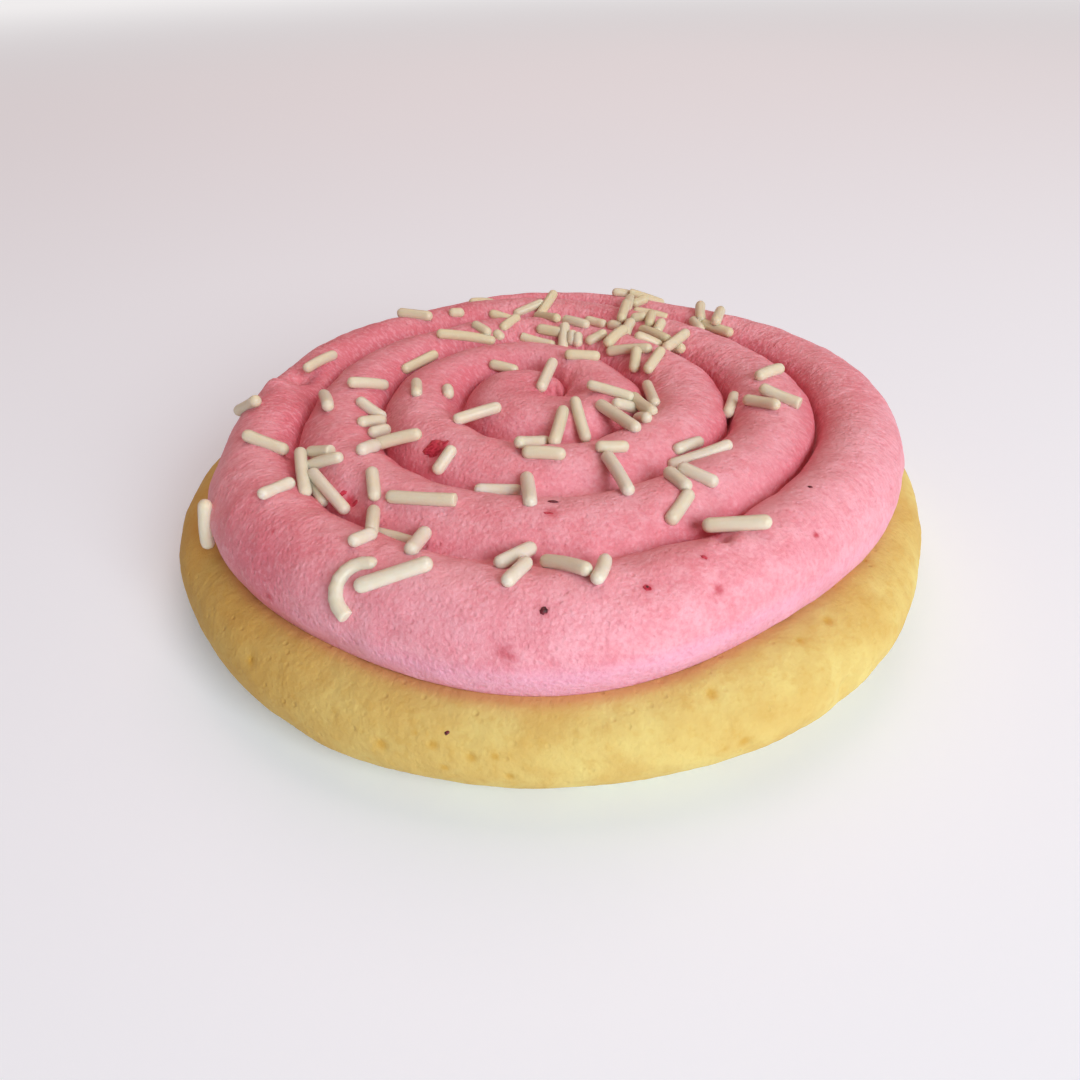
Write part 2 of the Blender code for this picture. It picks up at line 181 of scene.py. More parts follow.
trial = np.linspace(0, 1, 90)
sample = soft_noise(trial, trial, cells=9, width=0.2, seed=1)
print(f"noise from {sample.min():.2f} to {sample.max():.2f}")

# %% [markdown]
# ## From grids to a mesh
#
# Each surface below is one or more patches: a grid of points, with masks that say where a colour
# changes, and for the frosting a grain: coordinates that run with the rope, for patterns that must be
# longer across it than along it. Neighbouring patches share their border points, so welding them
# closes the body without a seam.

# %% Join patches into a mesh
WELD = 0.004 * MM


class Patch:
    """A grid of points, its grain in metres, and its masks from 0 to 1."""

    def __init__(self, points, grain=(0.0, 0.0, 0.0), **masks):
        self.points = points
        self.grain = np.broadcast_to(grain, points.shape)
        self.masks = {name: np.broadcast_to(mask, points.shape[:2]) for name, mask in masks.items()}
        self.split_last = False

    def mask(self, name):
        """A mask as one row of values: 0 where the patch has none of that name."""
        return self.masks.get(name, np.zeros(self.points.shape[:2])).ravel()

    def faces(self, start, finer_start):
        """Quads between the points. A last strip beside a grid with twice the steps is of triangles."""
        rows, columns = self.points.shape[:2]
        index = start + np.arange(rows * columns).reshape(rows, columns)
        quads = np.stack((index[:-1, :-1], index[1:, :-1], index[1:, 1:], index[:-1, 1:]), axis=-1)
        if not self.split_last:
            return quads.reshape(-1, 4).tolist()
        near, far = index[:, -2], index[:, -1]
        extra = finer_start + (2 * np.arange(rows - 1) + 1) * columns
        strip = [(near[:-1], extra, far[:-1]), (near[:-1], near[1:], extra), (near[1:], far[1:], extra)]
        triangles = np.array(strip).transpose(0, 2, 1).reshape(-1, 3)
        return quads[:, :-1].reshape(-1, 4).tolist() + triangles.tolist()


def object_of(name, mesh, finish):
    """Links a mesh to the scene as an object with one finish, shaded smooth."""
    mesh.materials.append(finish)
    mesh.shade_smooth()
    made = bpy.data.objects.new(name, mesh)
    bpy.context.scene.collection.objects.link(made)
    return made


def closed_object(name, points, faces, finish, masks, grain=None):
    """An object from points and faces, with its masks and its grain at the points.

    Points that lie together are welded, what collapses is dropped, and every face turns outwards.
    """
    mesh = bpy.data.meshes.new(name)
    mesh.from_pydata(points.tolist(), [], faces)
    if grain is not None:
        vectors = mesh.attributes.new("grain", "FLOAT_VECTOR", "POINT").data
        vectors.foreach_set("vector", grain.astype(np.float32).ravel())
    for mask, values in masks.items():
        mesh.attributes.new(mask, "FLOAT", "POINT").data.foreach_set("value", values.astype(np.float32))
    work = bmesh.new()
    work.from_mesh(mesh)
    bmesh.ops.remove_doubles(work, verts=work.verts, dist=WELD)
    bmesh.ops.recalc_face_normals(work, faces=work.faces)
    open_edges = sum(not edge.is_manifold for edge in work.edges)
    triangles = sum(len(face.verts) - 2 for face in work.faces)
    work.to_mesh(mesh)
    work.free()
    print(f"{name}: {triangles} triangles, {open_edges} edges not closed")
    return object_of(name, mesh, finish)


def join_patches(name, patches, finish):
    """One closed object from patches whose borders meet."""
    starts = np.cumsum([0] + [patch.points[..., 0].size for patch in patches])
    faces = sum((patch.faces(*starts[i : i + 2]) for i, patch in enumerate(patches)), [])
    points = np.concatenate([patch.points.reshape(-1, 3) for patch in patches])
    grain = np.concatenate([patch.grain.reshape(-1, 3) for patch in patches])
    masks = {mask: np.concatenate([patch.mask(mask) for patch in patches]) for mask in patches[0].masks}
    return closed_object(name, points, faces, finish, masks, grain)


def join_rings(name, rings, finish, **masks):
    """One object from many small closed bodies: rings of points, body by body, that end in points."""
    count, rows, sides = rings.shape[:3]
    index = np.arange(rows * sides).reshape(rows, sides)
    ahead = np.roll(index, -1, axis=1)
    quads = np.stack([index[:-1], ahead[:-1], ahead[1:], index[1:]], axis=-1).reshape(-1, 4)
    faces = quads + index.size * np.arange(count)[:, None, None]
    return closed_object(name, rings.reshape(-1, 3), faces.reshape(-1, 4).tolist(), finish, masks)


# %% [markdown]
# ## Finishes
#
# Every finish is a Principled shader fed by patterns. Two patterns are used by more than one finish,
# so each is a node group: blotches, a soft mask for uneven colour, and crumb, a height for fine
# roughness with pores in it.

# %% Helpers for node trees
COLOUR_A, COLOUR_B, COLOUR_OUT = 6, 7, 2


def screen_colour(red, green, blue):
    """A colour as a screen shows it, 0 to 255, made linear for the shader."""
    shown = np.array([red, green, blue]) / 255
    linear = np.where(shown <= 0.04045, shown / 12.92, ((shown + 0.055) / 1.055) ** 2.4)
    return (*linear.tolist(), 1.0)


def add(tree, kind, sockets=(), **settings):
    """A node with its settings. A socket given an output is linked to it, any other value is typed in."""
    made = tree.nodes.new("ShaderNode" + kind)
    for name, value in settings.items():
        setattr(made, name, value)
    for name, value in dict(sockets).items():
        if isinstance(value, bpy.types.NodeSocket):
            tree.links.new(value, made.inputs[name])
        else:
            made.inputs[name].default_value = value
    return made


def stretch(tree, mask, first, last, low=0.0, high=1.0):
    """A mask made to run from first to last while it runs from low to high, and held beyond them."""
    ranges = {"Value": mask, "From Min": low, "From Max": high, "To Min": first, "To Max": last}
    return add(tree, "MapRange", ranges, interpolation_type="SMOOTHSTEP").outputs["Result"]


def blend(tree, mask, first, second):
    """The first colour where the mask is 0 and the second where it is 1."""
    sockets = {"Factor": mask, COLOUR_A: first, COLOUR_B: second}
    return add(tree, "Mix", sockets, data_type="RGBA").outputs[COLOUR_OUT]


def cloud(tree, vector, scale, detail, **more):
    """Blender's own soft noise, as a number about a half."""
    sockets = {"Vector": vector, "Scale": scale, "Detail": detail, **more}
    return add(tree, "TexNoise", sockets).outputs["Fac"]


def new_group(name, takes, gives):
    """A node group with named number inputs after its vector, and one number output."""
    tree = bpy.data.node_groups.new(name, "ShaderNodeTree")
    tree.interface.new_socket("Vector", in_out="INPUT", socket_type="NodeSocketVector")
    for socket, value in takes.items():
        made = tree.interface.new_socket(socket, in_out="INPUT", socket_type="NodeSocketFloat")
        made.default_value = value
    tree.interface.new_socket(gives, in_out="OUTPUT", socket_type="NodeSocketFloat")
    return tree, tree.nodes.new("NodeGroupInput").outputs, tree.nodes.new("NodeGroupOutput").inputs


# %% Build the two shared patterns
PORE_HEART = 0.05


def blotches_group():
    """Soft blotches: noise, of which only the part between Low and High changes the mask."""
    tree, takes, gives = new_group("blotches", {"Scale": 100.0, "Low": 0.4, "High": 0.6}, "Mask")
    soft = cloud(tree, takes["Vector"], takes["Scale"], detail=3.0)
    tree.links.new(stretch(tree, soft, 0.0, 1.0, takes["Low"], takes["High"]), gives["Mask"])
    return tree


def crumb_group():
    """Fine roughness: noise, less round pores whose share of the surface is given."""
    tree, takes, gives = new_group("crumb", {"Scale": 2000.0, "Pore Scale": 900.0, "Pores": 0.3}, "Height")
    rough = cloud(tree, takes["Vector"], takes["Scale"], detail=4.0)
    cells = add(tree, "TexVoronoi", {"Vector": takes["Vector"], "Scale": takes["Pore Scale"]})
    pores = stretch(tree, cells.outputs["Distance"], 0.0, 1.0, PORE_HEART, takes["Pores"])
    height = add(tree, "Math", {0: rough, 1: pores}, operation="MULTIPLY")
    tree.links.new(height.outputs[0], gives["Height"])
    return tree


blotches, crumb = blotches_group(), crumb_group()
print("shared patterns:", blotches.name, crumb.name)


# %% Helpers for materials
def blotched(tree, place, scale, low, high):
    """The mask of the blotches, placed in a material with its own values."""
    sockets = {"Vector": place, "Scale": scale, "Low": low, "High": high}
    return add(tree, "Group", sockets, node_tree=blotches).outputs["Mask"]


def crumbly(tree, place, scale, pore_scale, pores):
    """The height of the crumb, placed in a material with its own values."""
    sockets = {"Vector": place, "Scale": scale, "Pore Scale": pore_scale, "Pores": pores}
    return add(tree, "Group", sockets, node_tree=crumb).outputs["Height"]


def read_masks(tree, *masks):
    """The piece's own masks, as numbers over its surface."""
    return [add(tree, "Attribute", attribute_name=mask).outputs["Fac"] for mask in masks]


def new_finish(name, colour, roughness, **fixed):
    """A material, its tree, its shader and its object coordinates. Fixed values sit on the shader."""
    made = bpy.data.materials.new(name)
    made.use_nodes = True
    made.diffuse_color = colour
    tree = made.node_tree
    shader = tree.nodes["Principled BSDF"]
    shader.inputs["Base Color"].default_value = colour
    shader.inputs["Roughness"].default_value = roughness
    for socket, value in fixed.items():
        shader.inputs[socket.replace("_", " ")].default_value = value
    return made, tree, shader, add(tree, "TexCoord").outputs["Object"]


def feed_colour(tree, shader, colour, layers):
    """Colours laid one over another, each as far as its mask says.

    A layer is a mask, how it is stretched, which is () for a mask taken as it is, and a colour.
    """
    for mask, ends, over in layers:
        share = stretch(tree, mask, *ends) if ends else mask
        colour = blend(tree, share, colour, over)
    tree.links.new(colour, shader.inputs["Base Color"])


def feed_normal(tree, shader, *heights):
    """Bumps one on another: each height with its depth in metres, the first the broadest."""
    normal = {}
    for height, depth in heights:
        sockets = {"Height": height, "Distance": depth, "Strength": 1.0, **normal}
        normal = {"Normal": add(tree, "Bump", sockets).outputs["Normal"]}
    tree.links.new(normal["Normal"], shader.inputs["Normal"])


# %% [markdown]
# ### Whipped frosting
#
# Whipped frosting is satin and a little translucent. On the sides and the back its skin is
# crumpled into fine folds across the rope, so that noise reads the grain, stretched across. At the
# front the skin is only mottled. The pores of burst bubbles lie over both. The pink is paler where
# the skin stands proud and deeper in its hollows: painted highlight and painted shade that follow
# the bumps.

# %% Mix the frosting
PINK = screen_colour(235, 152, 164)
PALE_AND_HIGHLIGHT_PINK = screen_colour(244, 180, 193)
DEEP_AND_SHADED_PINK = screen_colour(216, 106, 122)
REFLECTED_LIGHT_LILAC = screen_colour(238, 176, 206)
STAIN = screen_colour(190, 36, 62)


def frosting_finish():
    """Pinks laid over one another, with bumps from the skin and the pores."""
    made, tree, shader, place = new_finish(
        "raspberry_frosting", PINK, roughness=0.5, Subsurface_Weight=0.18, Subsurface_Scale=0.9 * MM,
        Subsurface_Radius=(1.0, 0.40, 0.35), Specular_IOR_Level=0.35,
    )
    depth, pale, foot, berry, crumpled = read_masks(tree, "depth", "pale", "foot", "berry", "crumpled")
    grain = add(tree, "Attribute", attribute_name="grain").outputs["Vector"]
    grain = add(tree, "Mapping", {"Vector": grain, "Scale": (1.0, 1.0, 0.5)}).outputs["Vector"]
    folds = cloud(tree, grain, scale=2300.0, detail=5.0, Distortion=0.25)
    mottles = stretch(tree, cloud(tree, place, scale=1900.0, detail=4.0, Roughness=0.6), 0.28, 0.72)
    skin = add(tree, "Mix", {"Factor": crumpled, 2: mottles, 3: folds}, data_type="FLOAT").outputs[0]
    broad = blotched(tree, place, scale=130.0, low=0.35, high=0.65)
    small = blotched(tree, place, scale=500.0, low=0.40, high=0.70)
    # The skin layers are painted shade in the fold hollows and painted highlight on their crests. The depth
    # layer is painted shade, and the foot layer is painted reflected light on the low front wall.
    feed_colour(tree, shader, PINK, (
        (broad, (0.0, 0.5), PALE_AND_HIGHLIGHT_PINK),
        (small, (0.14, 0.0), DEEP_AND_SHADED_PINK),
        (small, (0.0, 0.4), PALE_AND_HIGHLIGHT_PINK),
        (pale, (), PALE_AND_HIGHLIGHT_PINK),
        (foot, (0.0, 0.65), REFLECTED_LIGHT_LILAC),
        (depth, (0.0, 0.75), DEEP_AND_SHADED_PINK),
        (skin, (0.38, 0.0, 0.34, 0.54), DEEP_AND_SHADED_PINK),
        (skin, (0.0, 0.5, 0.48, 0.66), PALE_AND_HIGHLIGHT_PINK),
        (berry, (0.0, 0.85, 0.05, 0.6), STAIN),
    ))
    pores = crumbly(tree, place, scale=2300.0, pore_scale=1100.0, pores=0.4)
    feed_normal(tree, shader, (skin, 0.22 * MM), (pores, 0.12 * MM))
    tree.links.new(stretch(tree, small, 0.46, 0.58), shader.inputs["Roughness"])
    return made


whipped = frosting_finish()

# %% [markdown]
# ### Baked dough
#
# A soft sugar cookie is pale butter yellow and quite matt, blotched with tan where it baked more,
# with golden pits where sugar melted. Under the frosting's edge it is a little more orange where fat
# from the cream bled in, and darker, most at the front: painted shade. Its left side is browner:
# painted shade too.

# %% Mix the dough
BUTTER = screen_colour(224, 204, 126)
TAN = screen_colour(216, 185, 106)
BROWNED_AND_SHADED = screen_colour(196, 150, 70)
GOLD = screen_colour(204, 158, 62)
BLEED_AND_SHADE_ORANGE = screen_colour(204, 144, 98)


def dough_finish():
    """Yellows and tans laid over one another, with soft and fine bumps."""
    made, tree, shader, place = new_finish(
        "baked_dough", BUTTER, roughness=0.8, Subsurface_Weight=0.10, Subsurface_Scale=1.0 * MM,
        Subsurface_Radius=(1.0, 0.7, 0.3), Specular_IOR_Level=0.25,
    )
    pit, bleed_and_shade, painted_left_shade = read_masks(tree, "pit", "bleed_and_shade", "painted_left_shade")
    feed_colour(tree, shader, BUTTER, (
        (blotched(tree, place, scale=140.0, low=0.30, high=0.70), (), TAN),
        (blotched(tree, place, scale=420.0, low=0.40, high=0.65), (0.0, 0.16), BROWNED_AND_SHADED),
        (blotched(tree, place, scale=900.0, low=0.46, high=0.74), (0.0, 0.22), GOLD),
        (painted_left_shade, (0.0, 0.5), BROWNED_AND_SHADED),
        (bleed_and_shade, (0.0, 0.85), BLEED_AND_SHADE_ORANGE),
        (pit, (0.0, 0.75), GOLD),
    ))
    soft = cloud(tree, place, scale=420.0, detail=3.0)
    fine = crumbly(tree, place, scale=1700.0, pore_scale=600.0, pores=0.22)
    feed_normal(tree, shader, (soft, 0.18 * MM), (fine, 0.12 * MM))
    return made


baked = dough_finish()

# %% [markdown]
# ### Sugar sticks and raspberry
#
# The sprinkles are cream sugar paste, faintly see-through at the ends, each a slightly different
# cream by chance, and yellower towards the back: painted shade. Raspberry pulp is moist and
# crimson, and its seeds are almost black.

# %% Mix the sprinkles, pulp and seeds
CREAM = screen_colour(225, 221, 206)
WARM_CREAM = screen_colour(216, 208, 174)


def sprinkle_finish():
    """Two creams, mixed by each sprinkle's chance warmth and painted shade towards the back, with a powdery
    bump.
    """
    made, tree, shader, place = new_finish(
        "sugar_stick", CREAM, roughness=0.36, Subsurface_Weight=0.45, Subsurface_Scale=1.0 * MM,
        Subsurface_Radius=(1.0, 0.8, 0.55), Specular_IOR_Level=0.4,
    )
    (tone,) = read_masks(tree, "tone")
    patchy = blotched(tree, place, scale=900.0, low=0.35, high=0.7)
    feed_colour(tree, shader, CREAM, ((tone, (), WARM_CREAM), (patchy, (0.0, 0.25), WARM_CREAM)))
    feed_normal(tree, shader, (crumbly(tree, place, scale=3500.0, pore_scale=2600.0, pores=0.15), 0.04 * MM))
    return made


def berry_finish(name, colour, dark, roughness):
    """Moist fruit: two tones in fine blotches over a smooth bump."""
    made, tree, shader, place = new_finish(
        name, colour, roughness, Subsurface_Weight=0.1, Subsurface_Scale=0.5 * MM,
    )
    feed_colour(tree, shader, colour, ((blotched(tree, place, scale=2500.0, low=0.4, high=0.6), (), dark),))
    feed_normal(tree, shader, (crumbly(tree, place, scale=5000.0, pore_scale=3000.0, pores=0.2), 0.06 * MM))
    return made


sugar = sprinkle_finish()
pulp = berry_finish("raspberry_pulp", screen_colour(205, 58, 82), screen_colour(170, 24, 50), 0.35)
seed_skin = berry_finish("raspberry_seed", screen_colour(116, 34, 48), screen_colour(66, 18, 28), 0.4)
print("finishes:", whipped.name, baked.name, sugar.name, pulp.name, seed_skin.name)

# %% [markdown]
# ## The cookie
#
# The dough was scooped as a ball and sank in the oven, so it is a low dome with a fat rounded rim,
# not quite round. It could be a squashed cylinder with a bevel, but then its rim would be too even.
# Here one profile is turned round the axis, the turn is pushed out of round by slow waves, and noise
# and pits are added along the profile's normal. Only what shows is fine: under the frosting and
# below the cookie a few broad rings do.

# %% Describe the cookie
COOKIE_RADIUS = 51.0 * MM
COOKIE_THICKNESS = 12.8 * MM
COOKIE_CROWN = 0.6 * MM
RIM_WIDTH = 6.5 * MM
RIM_MIDDLE = 6.3 * MM
BASE_ROUNDING = 6.5 * MM
COOKIE_WAVES = ((3, 0.24 * MM, 22), (4, 0.58 * MM, 46), (5, 0.49 * MM, 119))
RIM_HEIGHT = COOKIE_THICKNESS - COOKIE_CROWN - RIM_MIDDLE
HIDDEN_RINGS, BASE_RINGS = (0.0, 0.4, 0.7), (0.6, 0.3, 0.0)
SHOWN_FROM = 0.84
TOP_RINGS = 20
RIM_RINGS = 56


def waviness(angle, waves):
    """How far an outline stands out at an angle: a sum of a few slow waves round it."""
    return sum(height * np.cos(count * angle - math.radians(crest)) for count, height, crest in waves)


def cookie_top(x, y):
    """Height of the cookie's upper face over a point: a low dome, then a quarter of an ellipse."""
    radius = np.hypot(x, y)
    edge = COOKIE_RADIUS + waviness(np.arctan2(y, x), COOKIE_WAVES)
    shoulder = edge - RIM_WIDTH
    crown = COOKIE_THICKNESS - COOKIE_CROWN * (np.minimum(radius, shoulder) / shoulder) ** 2
    over = np.clip((radius - shoulder) / RIM_WIDTH, 0, 1)
    return crown - RIM_HEIGHT * (1 - np.sqrt(1 - over**2))


def rim_profile():
    """Radius, height and outward normal down the rim, from under the frosting to the flat base."""
    shoulder = COOKIE_RADIUS - RIM_WIDTH
    top = np.concatenate([HIDDEN_RINGS, np.linspace(SHOWN_FROM, 1, TOP_RINGS)]) * shoulder
    lean = np.radians(np.linspace(90, -90, RIM_RINGS + 1))[1:]
    width = np.where(lean > 0, RIM_WIDTH, BASE_ROUNDING)
    height = np.where(lean > 0, RIM_HEIGHT, RIM_MIDDLE)
    base = np.array(BASE_RINGS) * shoulder
    crown = COOKIE_THICKNESS - COOKIE_CROWN * (top / shoulder) ** 2
    radii = np.concatenate([top, COOKIE_RADIUS - width * (1 - np.cos(lean)), base])
    heights = np.concatenate([crown, RIM_MIDDLE + height * np.sin(lean), 0 * base])
    leans = np.concatenate([np.full(top.size, math.pi / 2), lean, np.full(base.size, -math.pi / 2)])
    return radii[:, None], heights[:, None], leans[:, None]


print(f"cookie: {2 * COOKIE_RADIUS / MM:.0f} mm across, {COOKIE_THICKNESS / MM:.1f} mm thick")

# %% Turn the cookie
COOKIE_STEPS = 880
DOUGH_SWELL, DOUGH_LUMP, DOUGH_CRUMB = 0.22 * MM, 0.088 * MM, 0.035 * MM
SWELLS, DOUGH_LUMPS, CRUMBS = (34, 7 * MM, 21), (90, 3 * MM, 22), (420, 0.8 * MM, 23)
BASE_FADE, UNDER_FROSTING, FROSTING_FADE = 2 * MM, 0.7, 3 * MM
HALO_WIDTH = 1.3 * MM
HALO_FRONT = (265, 50)
HALO_LEAST = 0.35
DOUGH_SHADE_SIDE = (205, 45)


def dough_relief(angle, down):
    """Swells a centimetre wide, lumps on them and crumb on those, as a height along the normal."""
    layers = ((DOUGH_SWELL, SWELLS), (DOUGH_LUMP, DOUGH_LUMPS), (DOUGH_CRUMB, CRUMBS))
    return sum(height * soft_noise(angle / FULL_TURN, down, *layer) for height, layer in layers)


def cookie_patch(foot_reach):
    """The profile turned round the axis: waves push it out of round, relief moves it along its normal."""
    radius, height, lean = rim_profile()
    angle = FULL_TURN * np.arange(COOKIE_STEPS + 1)[None, :] / COOKIE_STEPS
    down = np.cumsum(np.hypot(*(np.diff(part, axis=0, prepend=0) for part in (radius, height))), axis=0)
    stretched = radius * (1 + waviness(angle, COOKIE_WAVES) * radius / COOKIE_RADIUS**2)
    points = round_axis(stretched, angle, height)
    shown = smooth(height / BASE_FADE) * smooth((radius - UNDER_FROSTING * COOKIE_RADIUS) / FROSTING_FADE)
    lift = (dough_relief(angle, down) - DOUGH_SWELL) * shown
    points = points + lift[..., None] * round_axis(np.cos(lean), angle, np.sin(lean))
    beyond = np.maximum(np.hypot(points[..., 0], points[..., 1]) - foot_reach(angle), 0)
    # Beside the frosting's foot the dough turns a darker orange, most at the front: partly cream that bled
    # in, partly painted shade. The left side is made browner: painted shade.
    bleed_and_shade = HALO_LEAST + (1 - HALO_LEAST) * on_side(np.degrees(angle), HALO_FRONT)
    bleed_and_shade = bleed_and_shade * bell(beyond, HALO_WIDTH) * (height > RIM_MIDDLE)
    return Patch(points, pit=0, bleed_and_shade=bleed_and_shade, painted_left_shade=on_side(np.degrees(angle), DOUGH_SHADE_SIDE))


# %% [markdown]
# ## The frosting's form
#
# The rope was piped from the middle outwards. After so many turns its outer groove lies at a certain
# reach: level for more than half a turn, then stepping out by one rope on the far side. Between two
# grooves the rope's back is the top of a circle. The model is built from the same rule, so the fine
# surface lands where the model's frosting is.

# %% Describe the grooves and the rope
FROSTING_MIDDLE = (0.7 * MM, -0.8 * MM)
FIRST_GROOVE = 12.3 * MM
ROPE_PITCH = 10.9 * MM
STEP_START, STEP_END = 0.053, 0.451
BLUNT_END = 0.02
DIMPLE_RADIUS = 1.4 * MM
DIMPLE_DEPTH = 1.0 * MM
FILL_PLACE = (-0.1 * MM, -1.6 * MM)
FILL_WIDTH = 2.6 * MM
FILL_RISE = 1.8 * MM
FROSTING_EDGE = 44.5 * MM
GROOVE_HEIGHT = 20.7 * MM
GROOVE_FALL = 2.5 * MM
FAR_SIDE_RISE = 0.65 * MM
ROPE_FATNESS = 1.14
ROPE_LEAN = math.acos(1 / ROPE_FATNESS)
ROPE_TURNS = 5
THINNEST_ROPE = 0.02 * MM
EDGE_BULGE = 0.75 * MM
FROSTING_WAVES = (
    (1, 0.20 * MM, 90), (2, 0.53 * MM, 109), (3, 0.91 * MM, 6),
    (4, 0.82 * MM, 27), (5, 0.22 * MM, 63), (6, 0.55 * MM, 171),
)


def eased(share):
    """0 before the step and 1 after it, along a smooth S, with a short blunt start and end."""
    return np.clip((1 + 2 * BLUNT_END) * smooth(share) - BLUNT_END, 0, 1)


def groove_radius(turns):
    """Reach of the groove after so many turns: level, then one pitch out on the far side."""
    whole = np.floor(turns)
    step = eased((turns - whole - STEP_START) / (STEP_END - STEP_START))
    return np.clip(FIRST_GROOVE + ROPE_PITCH * (whole - 1 + step), DIMPLE_RADIUS, FROSTING_EDGE)


def groove_height(radius, angle):
    """The grooves lie on a shallow dome, which falls less towards the far side."""
    far = ((1 + np.sin(angle)) / 2) ** 2
    return GROOVE_HEIGHT - (GROOVE_FALL - FAR_SIDE_RISE * far) * (radius / FROSTING_EDGE) ** 2


def on_frosting(radius, angle, height):
    """Points of the frosting, with the outline's waves growing towards the edge.

    Near the middle, cream that ran back into the pit raises them by a bell.
    """
    reach = radius + waviness(angle, FROSTING_WAVES) * (radius / FROSTING_EDGE) ** 2
    points = round_axis(reach, angle, height) + np.array([*FROSTING_MIDDLE, 0.0])
    off = np.hypot(points[..., 0] - FILL_PLACE[0], points[..., 1] - FILL_PLACE[1])
    points[..., 2] += FILL_RISE * bell(off, FILL_WIDTH)
    return points


def edge_circle(angle):
    """Middle radius, middle height and radius of the circle that rounds the frosting's outer wall."""
    half = (FROSTING_EDGE - groove_radius(3.0)) / 2
    fat = half + EDGE_BULGE
    return FROSTING_EDGE - half, groove_height(FROSTING_EDGE, angle) - math.sqrt(fat**2 - half**2), fat


def frosting_top(x, y):
    """Height of the frosting over a point, and 0 beside it."""
    x = np.asarray(x) - FROSTING_MIDDLE[0]
    y = np.asarray(y) - FROSTING_MIDDLE[1]
    angle = np.arctan2(y, x) % FULL_TURN
    reach = np.hypot(x, y)
    reach = reach - waviness(angle, FROSTING_WAVES) * (reach / FROSTING_EDGE) ** 2
    groove = groove_height(reach, angle)
    middle, level, fat = edge_circle(angle)
    across = reach - middle
    height = np.where(across < fat, level + np.sqrt(np.maximum(fat**2 - across**2, 0)), 0)
    for turn in range(ROPE_TURNS):
        inner = groove_radius(angle / FULL_TURN + turn - 1)
        outer = groove_radius(angle / FULL_TURN + turn)
        half = np.maximum(outer - inner, THINNEST_ROPE) / 2
        across = (reach - (inner + outer) / 2) / half
        arch = np.sqrt(np.maximum(ROPE_FATNESS**2 - across**2, 0)) - math.sqrt(ROPE_FATNESS**2 - 1)
        inside = (reach >= inner) & (reach < outer)
        height = np.where(inside, groove + np.sqrt(half * ROPE_PITCH / 2) * arch, height)
    return np.where(reach < DIMPLE_RADIUS, groove - DIMPLE_DEPTH / 2, height)


print(f"frosting: grooves at {[round(float(groove_radius(t)) / MM, 1) for t in (1, 2, 3)]} mm on the right")

# %% [markdown]
# ## The frosting's surface
#
# As the soft rope left the nozzle it buckled into wrinkles across its run, and it is a little lumpy.
# So the relief has two coordinates: the length run along the rope, and the way across it. The outer
# turn's length repeats after exactly one round, so the wrinkles pass from the rope's back onto the
# wall and close there.

# %% Work out the length along the rope
RING_REACH = float(FROSTING_EDGE + groove_radius(3.0)) / 2
RING_LENGTH = FULL_TURN * RING_REACH
OUTER_START = 3
LENGTH_SAMPLES, TAIL_SAMPLES = 601, 4001


def rope_length(turns):
    """Length run along the rope, 0 where the outer turn starts: the mid radius summed over the turns."""
    table = np.linspace(0, OUTER_START, LENGTH_SAMPLES)
    mid = (groove_radius(table - 1) + groove_radius(table)) / 2
    run = np.concatenate([[0], np.cumsum((mid[1:] + mid[:-1]) / 2 * FULL_TURN * np.diff(table))])
    inner = np.interp(turns, table, run - run[-1])
    return np.where(turns < OUTER_START, inner, (turns - OUTER_START) * RING_LENGTH)


def tail_end():
    """Share of a turn after which the last groove has reached the edge, where the rope's end dies away."""
    table = np.linspace(0, STEP_END, TAIL_SAMPLES)
    return float(table[np.argmax(groove_radius(OUTER_START + table) >= FROSTING_EDGE)])


TAIL_END = tail_end()
print(f"the rope runs {-float(rope_length(np.array(0.0))) / MM:.0f} mm before its outer turn")

# %% Work out the relief
WRINKLE_HEIGHT, LUMP_HEIGHT, KNOB_HEIGHT = 0.09 * MM, 0.23 * MM, 0.11 * MM
DRIFT, FINE_FOLDS, BROAD_FOLDS = (70, 2.2 * MM, 1), (260, 2.4 * MM, 2), (130, 3.5 * MM, 3)
LUMPS, KNOBS = (32, 6 * MM, 4), (110, 2.2 * MM, 5)
FINE_DRIFT, BROAD_DRIFT = 1.5, 0.8
FOLD_SHARE = 0.6
SMOOTH_KNOBS, CRUMPLED_KNOBS = 1.3, 0.7
SMOOTH_FRONT = (272, 62)
SMOOTH_TURNS = 0.9
MOST_CRUMPLED = 0.9
TAIL_FADE, TAIL_WIDTH = 0.03, 2 * MM


def crumpled(turns):
    """How wrinkled the skin is, as a share: 0 in the middle and at the front, most on the other sides."""
    side = 1 - on_side(360 * (turns % 1), SMOOTH_FRONT)
    return MOST_CRUMPLED * side * smooth((turns - SMOOTH_TURNS) / SMOOTH_TURNS)


def frosting_relief(turns, across):
    """Height along the normal: lumps, small knobs, and wrinkles across the rope, whose lines wander.

    Wrinkles are noise stretched across the rope, pushed along it by slower noise. They need crumpled
    skin. Knobs are stronger on smooth skin.
    """
    rounds = rope_length(turns) / RING_LENGTH
    side = crumpled(turns)
    drift = soft_noise(rounds, across, *DRIFT)
    fine = soft_noise(rounds, across, *FINE_FOLDS, FINE_DRIFT * drift)
    broad = soft_noise(rounds, across, *BROAD_FOLDS, BROAD_DRIFT * drift)
    wrinkles = WRINKLE_HEIGHT * (FOLD_SHARE * fine + FOLD_SHARE * broad) * side
    knobs = KNOB_HEIGHT * soft_noise(rounds, across, *KNOBS)
    knobs = knobs * (SMOOTH_KNOBS + (CRUMPLED_KNOBS - SMOOTH_KNOBS) * side)
    relief = wrinkles + LUMP_HEIGHT * soft_noise(rounds, across, *LUMPS) + knobs
    tail = bell(turns % 1 - TAIL_END, TAIL_FADE) * bell(across, TAIL_WIDTH)
    return relief * (1 - tail)


